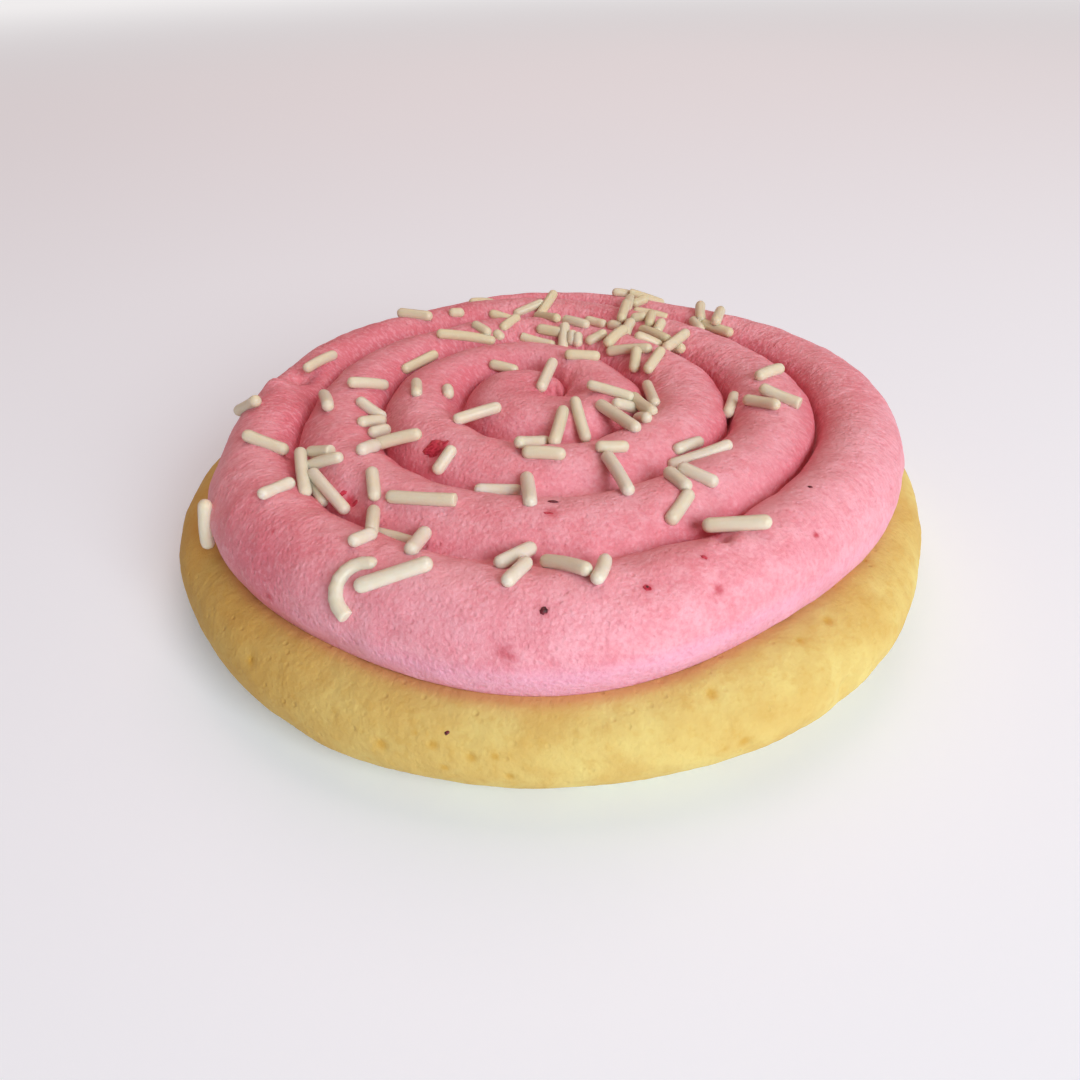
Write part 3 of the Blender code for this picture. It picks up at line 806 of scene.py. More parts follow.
# %% [markdown]
# Between two turns the frosting folds in on itself. The groove wanders a little. At the left and the
# right the two ropes did not quite merge, and its bottom is a narrow deep crease. At the front and
# the back they ran together, and it is a soft hollow, but for one fold on the front right. Beside
# each groove the pink is deepened, most where the crease is sharp: painted shade.

# %% Shape the grooves
CREASE_DEPTH = 1.3 * MM
CREASE_WIDTH = 0.36 * MM
SOFT_RISE, SHARP_RISE = 1.1 * MM, 0.55 * MM
SOFT_GROOVE_SHADE = 0.35
GROOVE_WANDER = 0.22 * MM
WANDERING, PATCHY = (60, 1, 7), (34, 1, 8)
PATCHINESS, LEAST_SHARP = 0.25, 0.05
FOLD_PLACE, FOLD_WIDTH, FOLD_SHIFT = OUTER_START - 1 + 299 / 360, 7 / 360, 1.0 * MM
SLOW_FADE, QUICK_FADE = 3 * MM, 1 * MM


def groove_noise(turns, layer):
    """Soft noise along a groove, after so many turns."""
    return soft_noise(rope_length(turns) / RING_LENGTH, 0.5 + 0 * turns, *layer)


def clear_of_ends(reach, edge_fade):
    """0 at the dimple and at the frosting's edge, and 1 further off than a fade."""
    past_dimple = np.clip((reach - DIMPLE_RADIUS) / SLOW_FADE, 0, 1)
    return past_dimple * np.clip((FROSTING_EDGE - reach) / edge_fade, 0, 1)


def wandering_groove(turns):
    """The groove's reach with a small sideways wander, pushed out by a bell at the fold on the right."""
    reach = groove_radius(turns)
    wander = GROOVE_WANDER * groove_noise(turns, WANDERING) * clear_of_ends(reach, SLOW_FADE)
    return reach + wander + FOLD_SHIFT * bell(turns - FOLD_PLACE, FOLD_WIDTH)


def groove_shape(turns):
    """Depth of the crease, rise of the soft hollow and strength of its painted shade, after so many turns."""
    free = clear_of_ends(groove_radius(turns), QUICK_FADE)
    sides = LEAST_SHARP + np.cos(FULL_TURN * turns) ** 2 + bell(turns - FOLD_PLACE, FOLD_WIDTH)
    sharp = smooth(sides + PATCHINESS * groove_noise(turns, PATCHY))
    rise = SOFT_RISE + (SHARP_RISE - SOFT_RISE) * sharp
    return free * CREASE_DEPTH * sharp, free * rise, SOFT_GROOVE_SHADE + (1 - SOFT_GROOVE_SHADE) * sharp


# %% [markdown]
# Each turn of the rope is one patch: rows along the rope, columns across it, closer together beside
# the grooves. A turn has as many steps as its length needs, and twice as many as the turn inside it,
# until the steps are fine enough.

# %% Lay out the rope's patches
TURN_STEPS = (192, 384, 768, 768, 768)
ACROSS = 30
CROWDING = 0.55
RELIEF_EDGE = 0.10
THIN_ROPE = 2.5 * MM
GROOVE_SHADE_WIDTH = 2.2 * MM
SHADE_AND_TINT = 0.45
PAINTED_SHADE_SIDE = (145, 65)
TINGED_MIDDLE = 12 * MM


def side_shade_and_middle_tint(angle, radius):
    """How much deeper the pink is, as a share: painted shade most on the left and at the back, and a deeper
    tint in the middle.
    """
    return SHADE_AND_TINT * np.maximum(on_side(np.degrees(angle) % 360, PAINTED_SHADE_SIDE), bell(radius, TINGED_MIDDLE))


def relief_share(half):
    """How much of the relief a rope takes: all of it, but less where it is thin."""
    return np.clip(half / THIN_ROPE, 0, 1)


def rope_patch(turn, steps, shown_steps):
    """The back of one turn: a circle's top between two grooves, with relief along its normal.

    The columns lie at shares across the rope, crowded towards its two grooves by a sine.
    """
    turns = turn + np.arange(shown_steps + 1)[:, None] / steps
    angle = FULL_TURN * turns
    even = np.linspace(0, 1, ACROSS + 1)[None, :]
    share = even - CROWDING * np.sin(FULL_TURN * even) / FULL_TURN
    inner, outer = wandering_groove(turns - 1), wandering_groove(turns)
    half = (outer - inner) / 2
    around = math.pi - ROPE_LEAN - share * (math.pi - 2 * ROPE_LEAN)
    across = (share - 1) * ROPE_FATNESS * half * (math.pi - 2 * ROPE_LEAN)
    radius = (inner + outer) / 2 + ROPE_FATNESS * half * np.cos(around)
    at_edge = groove_radius(turns) >= FROSTING_EDGE
    beside = smooth(share / RELIEF_EDGE) * np.where(at_edge, 1, smooth((1 - share) / RELIEF_EDGE))
    lift = frosting_relief(turns, across) * beside * relief_share(half)
    rise = ROPE_FATNESS * np.sqrt(half * ROPE_PITCH / 2) * (np.sin(around) - math.sin(ROPE_LEAN))
    inner_crease, inner_rise, inner_shade = groove_shape(turns - 1)
    outer_crease, outer_rise, outer_shade = groove_shape(turns)
    rise = np.hypot(rise, inner_rise * (1 - share) + outer_rise * share)
    crease = inner_crease * bell(radius - inner, CREASE_WIDTH) * (1 - share)
    crease = crease + outer_crease * bell(outer - radius, CREASE_WIDTH) * share
    height = groove_height(radius, angle) + rise - crease + lift * np.sin(around)
    points = on_frosting(radius + lift * np.cos(around), angle, height)
    mid_reach = (groove_radius(turns - 1) + groove_radius(turns)) / 2
    mid_reach = np.where(turns < OUTER_START + STEP_END, mid_reach, RING_REACH)
    # The depth mask is painted shade beside both grooves. The side part added here is painted shade on the
    # left and at the back, with a deeper tint towards the middle.
    depth = inner_shade * bell(radius - inner, GROOVE_SHADE_WIDTH) + side_shade_and_middle_tint(angle, radius)
    depth = depth + np.where(at_edge, 0, outer_shade) * bell(outer - radius, GROOVE_SHADE_WIDTH)
    depth = np.minimum(depth, 1)
    grain = round_axis(mid_reach, angle, across)
    return Patch(points, grain, depth=depth, pale=0, foot=0, berry=0, crumpled=crumpled(turns))


# %% Lay out the wall and what it hides
WALL_RINGS = 22
LANDING_TRIES = 5
FOOT_SINK = 0.15 * MM
FOOT_FADE, THIN_FADE = 0.15, 0.3
REFLECTED_LIGHT_SIDE = (285, 60)
REFLECTED_LIGHT_FROM = 0.08
UNDER_SHARES = (1.0, 0.75, 0.35, 0.0)
DIMPLE_RINGS = 5


def wall_patch():
    """The outer wall: a circle from the rope's back round the bulge and down to the cookie."""
    rounds = np.arange(TURN_STEPS[-1] + 1)[:, None] / TURN_STEPS[-1]
    angle = FULL_TURN * rounds
    middle, level, fat = edge_circle(angle)
    top = math.acos((FROSTING_EDGE - middle) / fat)
    foot = np.full_like(angle, -top)
    for _ in range(LANDING_TRIES):
        landing = on_frosting(middle + fat * np.cos(foot), angle, 0.0)
        wanted = cookie_top(landing[..., 0], landing[..., 1]) - FOOT_SINK
        foot = np.arcsin((wanted - level) / fat)
    share = np.linspace(0, 1, WALL_RINGS + 1)[None, :]
    lean = top + (foot - top) * share
    across = fat * (top - lean)
    turns = OUTER_START + rounds + (rounds < TAIL_END)
    thin = relief_share((FROSTING_EDGE - wandering_groove(turns - 1)) / 2)
    thin = thin + (1 - thin) * smooth(share / THIN_FADE)
    lift = frosting_relief(turns, across) * smooth((1 - share) / FOOT_FADE) * thin
    tilt = lean + (ROPE_LEAN - top) * (1 - share)
    radius = middle + fat * np.cos(lean) + lift * np.cos(tilt)
    points = on_frosting(radius, angle, level + fat * np.sin(lean) + lift * np.sin(tilt))
    # The low front of the wall is made lilac: painted reflected light.
    low = smooth(2 * (share - REFLECTED_LIGHT_FROM)) * on_side(np.degrees(angle), REFLECTED_LIGHT_SIDE)
    grain = round_axis(RING_REACH, angle, across)
    # The wall's depth mask is painted shade on the left and at the back.
    return Patch(points, grain, depth=side_shade_and_middle_tint(angle, FROSTING_EDGE), foot=low, crumpled=crumpled(turns))


def underside_patch(wall_foot):
    """The hidden underside: it follows the cookie's top from the wall's foot to the middle."""
    centre = np.array([*FROSTING_MIDDLE, 0.0])
    points = centre + (wall_foot[:, None, :] - centre) * np.array(UNDER_SHARES)[None, :, None]
    points[..., 2] = cookie_top(points[..., 0], points[..., 1]) - FOOT_SINK
    points[:, 0] = wall_foot
    return Patch(points, foot=1)


def dimple_patch():
    """The small pit in the middle, where the rope starts: a cosine bowl, deeper pink towards its bottom as
    painted shade.
    """
    angle = FULL_TURN * np.arange(TURN_STEPS[0] + 1)[:, None] / TURN_STEPS[0]
    share = np.linspace(1, 0, DIMPLE_RINGS)[None, :]
    radius = DIMPLE_RADIUS * share
    bowl = DIMPLE_DEPTH * (1 + np.cos(math.pi * share)) / 2
    return Patch(on_frosting(radius, angle, groove_height(radius, angle) - bowl), depth=1 - share / 2)


def frosting_patches():
    """Every patch of the frosting, from the middle outwards and round underneath."""
    shown = (*TURN_STEPS[:-1], math.ceil(TAIL_END * TURN_STEPS[-1]))
    patches = [rope_patch(turn, TURN_STEPS[turn], shown[turn]) for turn in range(ROPE_TURNS)]
    for patch, steps, finer in zip(patches, TURN_STEPS, TURN_STEPS[1:]):
        patch.split_last = finer == 2 * steps
    wall = wall_patch()
    return [*patches, wall, underside_patch(wall.points[:, -1]), dimple_patch()]


def wall_foot_reach(angle):
    """How far from the cookie's middle the frosting's foot lies, at an angle."""
    foot = wall_patch().points[:, -1]
    around = np.arctan2(foot[:, 1], foot[:, 0]) % FULL_TURN
    order = np.argsort(around)
    reach = np.hypot(foot[:, 0], foot[:, 1])[order]
    return np.interp(angle % FULL_TURN, around[order], reach, period=FULL_TURN)


# %% Build the frosting and the cookie
frosting = join_patches("piped_frosting", frosting_patches(), whipped)
cookie = join_patches("sugar_cookie", [cookie_patch(wall_foot_reach)], baked)
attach(frosting, "root")
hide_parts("frosting")
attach(cookie, "root")
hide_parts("cookie")

# %% [markdown]
# ## Marks in the surface
#
# A finger, a tool or a bubble leaves a mark that no rule gives. Each is a bell: it moves the points
# near a spot along the surface's normal, most in its middle, and adds to a mask of the piece. The same
# function presses pits into the dough and raises small bumps where its depth is negative.

# %% Press marks into a piece
def press(piece, spots, widths, depths, mask=None, strengths=1.0):
    """Moves points against their normals by bells round spots, and raises a mask there."""
    mesh = piece.data
    points, normals = np.empty((2, len(mesh.vertices), 3))
    mesh.vertices.foreach_get("co", points.ravel())
    mesh.vertex_normals.foreach_get("vector", normals.ravel())
    marks, dips = np.zeros((2, len(points)))
    each = (np.broadcast_to(part, len(spots)) for part in (widths, depths, strengths))
    for spot, width, depth, strength in zip(spots, *each):
        near = bell(np.linalg.norm(points - spot, axis=1), width)
        marks = np.maximum(marks, strength * near)
        dips += depth * near
    mesh.vertices.foreach_set("co", (points - normals * dips[:, None]).ravel())
    if mask:
        before = np.empty(len(points), np.float32)
        mesh.attributes[mask].data.foreach_get("value", before)
        mesh.attributes[mask].data.foreach_set("value", np.maximum(before, marks).astype(np.float32))
    mesh.update()
    print(f"{piece.name}: {len(spots)} marks, up to {dips.max() / MM:.2f} mm deep")


# %% [markdown]
# Melted sugar leaves golden pits in the dough. The clearest are placed by the pixel in which they
# show, each with its width in millimetres, and the rest are scattered over the rim by a seeded draw.
# The rim has a notch on the right.

# %% Pit the cookie
SEEN_PITS = (
    (381, 745, 0.7), (471, 758, 0.6), (250, 660, 0.7), (433, 745, 0.5), (745, 742, 0.7), (712, 694, 0.7),
    (828, 620, 0.7), (800, 640, 0.5), (864, 560, 0.4), (445, 768, 0.4), (510, 777, 0.5), (495, 757, 0.4),
)
SCATTERED_PITS, PIT_SEED = 110, 5
PIT_WIDTHS, PIT_STRENGTHS = (0.15 * MM, 0.5 * MM), (0.2, 0.7)
PIT_DEPTH = 0.3
PITS_FROM, PITS_ABOVE = 0.9 * COOKIE_RADIUS, 2 * MM
NOTCH_PIXEL, NOTCH_WIDTH, NOTCH_DEPTH = (848, 688), 1.6 * MM, 0.8 * MM


def pit_cookie():
    """Presses the seen pits, then the scattered ones into points of the rim drawn by chance."""
    seen, _ = spots_seen(cookie, [pit[:2] for pit in SEEN_PITS])
    points = np.array([vertex.co for vertex in cookie.data.vertices])
    on_rim = (np.hypot(points[:, 0], points[:, 1]) > PITS_FROM) & (points[:, 2] > PITS_ABOVE)
    draw = np.random.default_rng(PIT_SEED)
    spots = np.concatenate([seen, points[draw.choice(np.flatnonzero(on_rim), SCATTERED_PITS)]])
    widths = np.concatenate([[pit[2] * MM for pit in SEEN_PITS], draw.uniform(*PIT_WIDTHS, SCATTERED_PITS)])
    strengths = np.concatenate([np.ones(len(seen)), draw.uniform(*PIT_STRENGTHS, SCATTERED_PITS)])
    press(cookie, spots, widths, PIT_DEPTH * widths * strengths, "pit", strengths)
    press(cookie, spots_seen(cookie, [NOTCH_PIXEL])[0], NOTCH_WIDTH, NOTCH_DEPTH)


pit_cookie()

# %% [markdown]
# Raspberry shows in the frosting as stains, where its juice ran into the cream. Some patches are a
# little paler, and others deeper pink: painted shade. These are masks on the frosting's own surface.
# Where the second turn ends at the front right, the rope folded over itself and left a little lip. At
# the back left the rope's end left a hollow in the edge. Each mark is a pixel, a width in
# millimetres, and a strength or a depth.

# %% Stain and dent the frosting
# The stains at (719, 538) and (716, 535) lie in the shaded recess under the front right sprinkle and deepen
# its colour: painted shade.
STAINS = (
    (437, 449, 1.5, 0.75), (551, 512, 1.1, 0.42), (647, 587, 0.9, 0.4), (543, 611, 1.1, 0.32),
    (504, 652, 0.9, 0.4), (511, 657, 0.7, 0.4), (719, 538, 0.7, 0.22), (390, 633, 1.2, 0.15),
    (269, 597, 0.6, 0.5), (704, 557, 0.6, 0.4), (350, 501, 0.9, 0.6), (719, 590, 0.6, 0.55),
    (816, 535, 0.45, 0.7), (716, 535, 0.8, 0.5), (325, 520, 0.5, 0.25), (273, 531, 0.3, 0.5),
    (567, 660, 0.6, 0.15), (733, 546, 0.5, 0.25), (408, 366, 0.6, 0.3), (515, 366, 0.4, 0.3),
)
# Deeper pink patches: painted shade.
PAINTED_SHADE_PATCHES = (
    (380, 335, 7, 0.9), (460, 318, 7, 0.8), (520, 388, 5, 0.7), (270, 400, 7, 0.8), (600, 395, 2, 0.6),
    (255, 570, 7, 1.0), (230, 520, 5, 0.6), (708, 537, 1.2, 0.9), (733, 536, 1.2, 0.8), (820, 565, 6, 0.3),
    (760, 430, 5, 0.35), (605, 316, 4, 0.8), (352, 347, 5, 0.8),
)
PALE_PATCHES = (
    (850, 440, 7, 0.7), (440, 600, 6, 0.6), (735, 500, 5, 0.5), (600, 590, 5, 0.4), (830, 490, 6, 0.5),
)
DENTS = (
    (722, 537, 0.8, 1.2), (708, 534, 0.8, 0.7), (712, 546, 1.2, -0.4), (742, 543, 0.9, -0.35),
    (437, 449, 1.4, 0.25), (299, 371, 3.0, 2.1), (277, 381, 1.8, -0.9), (350, 500, 1.6, 0.7),
)


def mark_frosting():
    """Presses the dents, then tints the surface without moving it: stains, painted shade and paler patches.
    """
    for mask, marks in ((None, DENTS), ("berry", STAINS), ("depth", PAINTED_SHADE_PATCHES), ("pale", PALE_PATCHES)):
        across, down, width, strength = np.transpose(marks)
        spots, _ = spots_seen(frosting, np.stack([across, down], axis=1))
        depth = 0.0 if mask else strength * MM
        press(frosting, spots, width * MM, depth, mask, strength)


mark_frosting()

# %% [markdown]
# ## The sprinkles
#
# Each sprinkle fell on the frosting, or on sprinkles that were there before it, and lies on the two
# bumps that carry it. A physics run could drop them, but then they would not lie where the real ones
# do. So they are laid by the rule that the model uses, in the order in which they fell. Each is given
# by its bearing in degrees and its reach in millimetres from the frosting's middle, the way it points
# in degrees, and its length in millimetres.

# %% List the sprinkles
SPRINKLE_THICKNESS = 1.5 * MM
SPRINKLE_SINK = 0.35 * MM
STEEPEST_SPRINKLE = math.tan(math.radians(35))
PLACED_SPRINKLES = {
    "middle": (
        (100, 4.0, 75, 7.5), (128, 11.0, 155, 4.5), (217, 12.0, 24, 6.5), (177, 14.0, 100, 2.5),
        (260, 15.0, 52, 6.5), (266, 18.5, 172, 5.0), (273, 11.3, 79, 7.5), (289, 10.0, 100, 7.5),
        (291, 18.5, 5, 4.0), (322, 14.0, 98, 5.5), (331, 10.5, 23, 4.0), (309, 12.5, 121, 8.5),
        (338, 8.0, 164, 6.5), (336, 12.5, 110, 6.5), (358, 13.0, 92, 8.0),
    ),
    "second turn": (
        (180, 18.0, 97, 4.5), (171, 25.5, 32, 6.0), (182, 30.0, 108, 6.0), (186, 24.0, 144, 5.0),
        (201, 23.5, 37, 3.0), (194, 24.0, 50, 4.5), (212, 22.5, 1, 6.0), (213, 26.5, 67, 4.0),
        (233, 21.5, 46, 4.0), (228, 30.5, 101, 5.0), (241, 30.0, 165, 8.5), (263, 25.0, 94, 7.5),
        (254, 23.5, 1, 5.5), (287, 23.5, 104, 8.5), (318, 21.5, 40, 5.0), (315, 24.0, 10, 8.0),
        (299, 27.5, 115, 4.5), (304, 28.0, 141, 5.0), (295, 31.0, 55, 5.0),
    ),
    "left star": (
        (207, 31.5, 150, 4.5), (211, 32.0, 164, 6.0), (216, 34.0, 118, 4.5), (219, 33.5, 128, 8.5),
        (215, 38.5, 54, 5.0), (211, 34.5, 105, 8.5), (197, 37.3, 161, 6.2), (178, 41.5, 137, 7.5),
    ),
    "front": (
        (239, 34.0, 150, 6.0), (238, 38.0, 48, 3.5), (235, 34.5, 96, 5.5), (246, 35.5, 78, 5.5),
        (247, 41.5, 9, 8.0), (263, 35.5, 46, 5.5), (264, 39.0, 63, 5.0), (271, 37.5, 139, 6.5),
        (276, 39.0, 73, 4.5), (300.5, 36.5, 172, 7.0),
    ),
    "right": ((6, 29.5, 40, 5.5), (348, 27.0, 132, 5.5), (352, 29.5, 144, 6.0), (355, 23.5, 69, 5.5)),
    "far left": (
        (145, 23.5, 50, 7.0), (158, 36.5, 62, 7.0), (123, 23.5, 1, 9.0), (116, 24.0, 133, 4.0),
        (111, 22.0, 139, 2.0), (105, 24.0, 54, 4.5), (96, 19.5, 158, 6.0), (90, 20.5, 155, 4.5),
        (126, 37.0, 162, 6.0), (116, 34.5, 8, 2.5), (96, 32.5, 22, 5.5), (91, 32.5, 62, 7.0),
        (104, 32.0, 168, 4.5), (91, 25.5, 125, 6.5),
    ),
    "far edge": ((106, 41.5, 40, 5.5), (72, 42.0, 176, 4.5), (67, 42.0, 170, 6.5)),
    "far heap": (
        (80, 22.5, 140, 5.0), (75, 28.0, 144, 4.0), (68, 27.0, 142, 2.5), (80, 18.5, 88, 2.5),
        (77, 18.0, 88, 2.5), (63, 9.5, 178, 5.0), (84, 19.0, 83, 5.0), (67, 30.0, 77, 6.5),
        (67, 38.5, 14, 3.0), (69, 36.5, 80, 6.5), (61, 28.5, 171, 2.5), (62, 35.0, 165, 6.0),
        (57, 28.5, 79, 4.0), (52, 27.0, 64, 3.0), (62, 25.5, 72, 4.5), (59, 18.5, 55, 5.5),
        (68, 18.0, 17, 3.5), (46, 16.0, 156, 7.0), (42, 24.5, 135, 4.0), (51, 25.0, 122, 7.0),
        (48, 21.5, 0, 4.5), (41, 24.5, 48, 6.0), (36, 14.5, 78, 4.0), (27, 16.0, 60, 5.5),
    ),
    "far right": ((48, 34.5, 100, 4.5), (43, 35.5, 133, 6.0), (45, 37.5, 72, 6.0), (50, 37.5, 83, 5.5)),
}
CURVED_BEARING, CURVED_LEAN, CURVED_RADIUS = 243.0, 53, 2.8 * MM
CURVED_FROM, CURVED_TO = 100, 250
UPRIGHT_BEARING, UPRIGHT_LEAN, UPRIGHT_LENGTH = 206, 10, 6.5 * MM
UPRIGHT_STANDOFF = 0.45 * MM
print(sum(map(len, PLACED_SPRINKLES.values())), "sprinkles placed one by one")

# %% Lay the sprinkles
class Ground:
    """What a falling sprinkle meets: the frosting, and the sprinkles that already lie on it."""

    SAMPLES = np.linspace(-0.45, 0.45, 9)
    MIDDLE = 4

    def __init__(self):
        self.laid = []

    def height(self, x, y):
        """Height of the frosting, or of a sprinkle's back where one lies in the way."""
        top = frosting_top(x, y)
        radius = SPRINKLE_THICKNESS / 2
        for start, end in self.laid:
            run = end - start
            share = ((x - start[0]) * run[0] + (y - start[1]) * run[1]) / (run[0] ** 2 + run[1] ** 2)
            share = np.clip(share, 0, 1)
            beside = np.hypot(x - start[0] - share * run[0], y - start[1] - share * run[1])
            back = start[2] + share * run[2] + np.sqrt(np.maximum(radius**2 - beside**2, 0))
            top = np.where(beside < radius, np.maximum(top, back), top)
        return top

    def lay(self, x, y, heading, length):
        """Rests a sprinkle on the two bumps that carry it, or rocked half way over a single one."""
        along = self.SAMPLES * length
        ground = self.height(x + along * math.cos(heading), y + along * math.sin(heading))
        near, far = np.meshgrid(np.arange(self.MIDDLE), np.arange(self.MIDDLE + 1, along.size))
        slope = (ground[far] - ground[near]) / (along[far] - along[near])
        bridge = ground[near] - slope * along[near]
        tilt = slope.ravel()[np.argmax(bridge)]
        if ground[self.MIDDLE] > bridge.max():
            rise = (ground - ground[self.MIDDLE])[along != 0] / along[along != 0]
            tilt = (rise[: self.MIDDLE].min() + rise[self.MIDDLE :].max()) / 2
        tilt = float(np.clip(tilt, -STEEPEST_SPRINKLE, STEEPEST_SPRINKLE))
        rest = (ground - tilt * along).max()
        lean = math.atan(tilt)
        middle = np.array([x, y, rest + (SPRINKLE_THICKNESS / 2 - SPRINKLE_SINK) / math.cos(lean)])
        axis = np.array([math.cos(heading), math.sin(heading), tilt]) * math.cos(lean)
        reach = (length - SPRINKLE_THICKNESS) / 2
        self.laid.append((middle - reach * axis, middle + reach * axis))


def plan(bearing, reach):
    """Plan position of a bearing in degrees and a reach in metres."""
    angle = math.radians(bearing)
    return FROSTING_MIDDLE[0] + reach * math.cos(angle), FROSTING_MIDDLE[1] + reach * math.sin(angle)


def on_edge(bearing, lean, standoff):
    """Points just off the rounded edge, from their bearing and their lean above the widest line."""
    bearing, lean = np.radians(bearing), np.radians(lean)
    middle, level, fat = edge_circle(bearing)
    away = fat + standoff
    return on_frosting(middle + away * np.cos(lean), bearing, level + away * np.sin(lean))


def upright_ends():
    """Both ends of the sprinkle that sticks upright to the edge."""
    middle = on_edge(UPRIGHT_BEARING, UPRIGHT_LEAN, UPRIGHT_STANDOFF)
    bearing, lean = math.radians(UPRIGHT_BEARING), math.radians(UPRIGHT_LEAN)
    up = np.array([-math.sin(lean) * math.cos(bearing), -math.sin(lean) * math.sin(bearing), math.cos(lean)])
    reach = (UPRIGHT_LENGTH - SPRINKLE_THICKNESS) / 2
    return middle - reach * up, middle + reach * up


def curved_line(points):
    """Points along the curved sprinkle: an arc drawn on the rounded edge."""
    side = np.radians(np.linspace(CURVED_FROM, CURVED_TO, points))
    fat = edge_circle(math.radians(CURVED_BEARING))[2]
    bearing = CURVED_BEARING + np.degrees(CURVED_RADIUS * np.cos(side) / FROSTING_EDGE)
    lean = CURVED_LEAN + np.degrees(CURVED_RADIUS * np.sin(side) / fat)
    return on_edge(bearing, lean, SPRINKLE_THICKNESS / 2 - SPRINKLE_SINK)


ground = Ground()
for group in PLACED_SPRINKLES.values():
    for bearing, reach, heading, length in group:
        ground.lay(*plan(bearing, reach * MM), math.radians(heading), length * MM)
ground.laid.append(upright_ends())
print(len(ground.laid) + 1, "sprinkles laid")

# %% [markdown]
# A sprinkle is cut from a long strand of sugar paste and tumbled. So its ends are round, but not all
# alike: some kept their flat cut. It is a little bent, and no two are quite as thick, but none stands
# higher than the model does. All of them are one joined mesh, swept together: ring after ring round
# each axis, with a point at both ends.

# %% Sweep the sprinkles
SPRINKLE_SIDES = 12
BODY_RINGS = 9
END_RINGS = 4
CUT_ENDS = 0.04
CUT_SHAPE, ROUND_SHAPE = 7.0, 2.1
CUT_REACH = 0.55
SPRINKLE_CLEARANCE = 0.02 * MM
SPRINKLE_BEND = 0.035
THINNEST, FATTEST = 0.98, 1.12
NEARLY_UP = (0.3, 0.2, 1.0)
SHAPE_SEED, TONE_SEED = 33, 32
TONE_SPREAD = 0.3


def end_profile(shape):
    """Reach beyond the axis end and thickness there, as shares: a circle at 2, squarer above."""
    around = np.radians(np.linspace(90, 0, END_RINGS + 1))[None, :-1]
    return np.sin(around) ** (2 / shape[:, None]), np.cos(around) ** (2 / shape[:, None])


def sprinkle_lines(draw):
    """Axis points of every sprinkle, bent a little sideways by a parabola, and the curved one last."""
    starts, ends = (np.array(points) for points in zip(*ground.laid))
    share = np.linspace(0, 1, BODY_RINGS)[None, :, None]
    run = ends - starts
    aside = unit(np.cross(run, draw.normal(size=run.shape)))
    bow = SPRINKLE_BEND * draw.uniform(-1, 1, len(run)) * np.linalg.norm(run, axis=1)
    bent = starts[:, None] + run[:, None] * share
    bent = bent + aside[:, None] * bow[:, None, None] * (1 - (2 * share - 1) ** 2)
    return np.concatenate([bent, curved_line(BODY_RINGS)[None]])


def sweep_sprinkles():
    """Rings of points round the axes: both ends follow their profiles, and the body joins them."""
    draw = np.random.default_rng(SHAPE_SEED)
    lines = sprinkle_lines(draw)
    count = len(lines)
    room = cad_box[1][2] - SPRINKLE_CLEARANCE - lines[..., 2].max(axis=1)
    radius = np.minimum(SPRINKLE_THICKNESS / 2 * draw.uniform(THINNEST, FATTEST, count), room)
    along = unit(np.gradient(lines, axis=1))
    aside = unit(np.cross(along, NEARLY_UP))
    over = np.cross(aside, along)
    shape = np.where(draw.uniform(size=(2, count)) < CUT_ENDS, CUT_SHAPE, ROUND_SHAPE)
    tips, tip_widths = [], []
    for end, sign in ((0, -1), (-1, 1)):
        beyond, width = end_profile(shape[end])
        reach = beyond * np.where(shape[end] == CUT_SHAPE, CUT_REACH, 1.0)[:, None] * radius[:, None]
        tip = lines[:, end, None] + sign * along[:, end, None] * reach[..., None]
        tips.append(tip[:, ::-sign])
        tip_widths.append(width[:, ::-sign])
    centre = np.concatenate([tips[0], lines, tips[1]], axis=1)
    width = np.concatenate([tip_widths[0], np.ones((count, BODY_RINGS)), tip_widths[1]], axis=1)
    width = width * radius[:, None]
    rows = np.clip(np.arange(BODY_RINGS + 2 * END_RINGS) - END_RINGS, 0, BODY_RINGS - 1)
    side = FULL_TURN * np.arange(SPRINKLE_SIDES)[:, None] / SPRINKLE_SIDES
    round_it = aside[:, rows, None] * np.cos(side) + over[:, rows, None] * np.sin(side)
    return centre[:, :, None] + round_it * width[:, :, None, None]


def sprinkle_object():
    """The swept sprinkles: each is a warmer cream the further back it lies, as painted shade, and a little by
    chance.
    """
    rings = sweep_sprinkles()
    chance = np.random.default_rng(TONE_SEED).uniform(-TONE_SPREAD, TONE_SPREAD, len(rings))
    # Warmer towards the back is painted shade; the chance part is each sprinkle's own colour.
    warm = np.clip(smooth((rings[:, 0, 0, 1] / COOKIE_RADIUS + 1) / 2) + chance, 0, 1)
    return join_rings("stick_sprinkles", rings, sugar, tone=np.repeat(warm, rings[0, ..., 0].size))


sprinkles = sprinkle_object()
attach(sprinkles, "root")
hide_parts("frosting")

# %% [markdown]
# ## Raspberry pulp and seeds
#
# Crushed berries were whipped in, so scraps of skin and a few seeds break the surface, and one dark
# speck lies on the dough. Each is a small flattened ball, made uneven and set half way in, where the
# photograph shows one.

# %% Set in the pulp and the seeds
PULP_BITS = (
    (434.5, 448.5, 1.3, 1.15, 0), (442, 445, 0.9, 0.5, 20), (432, 454, 0.6, 0.45, 60),
    (548, 513, 0.5, 0.2, 170), (704, 557, 0.4, 0.2, 150), (647, 587.5, 0.42, 0.32, 150),
    (355, 503, 0.8, 0.35, 20), (343, 493, 0.5, 0.3, 10), (407, 367, 0.45, 0.3, 60),
)
SEEDS = (
    (553, 502, 0.55, 0.28, 175), (543.5, 611, 0.42, 0.36, 40), (647, 587, 0.2, 0.15, 150),
    (810, 487, 0.28, 0.18, 160), (515.5, 366, 0.25, 0.15, 150),
)
SPECKS_ON_DOUGH = ((447, 733, 0.28, 0.2, 20),)
BIT_RINGS, BIT_SIDES = 9, 14
UNEVENNESS = 0.22
NEARLY_BACK = (0.0, 1.0, 0.3)
PULP_FLATNESS, PULP_DRAW = 0.2, 41
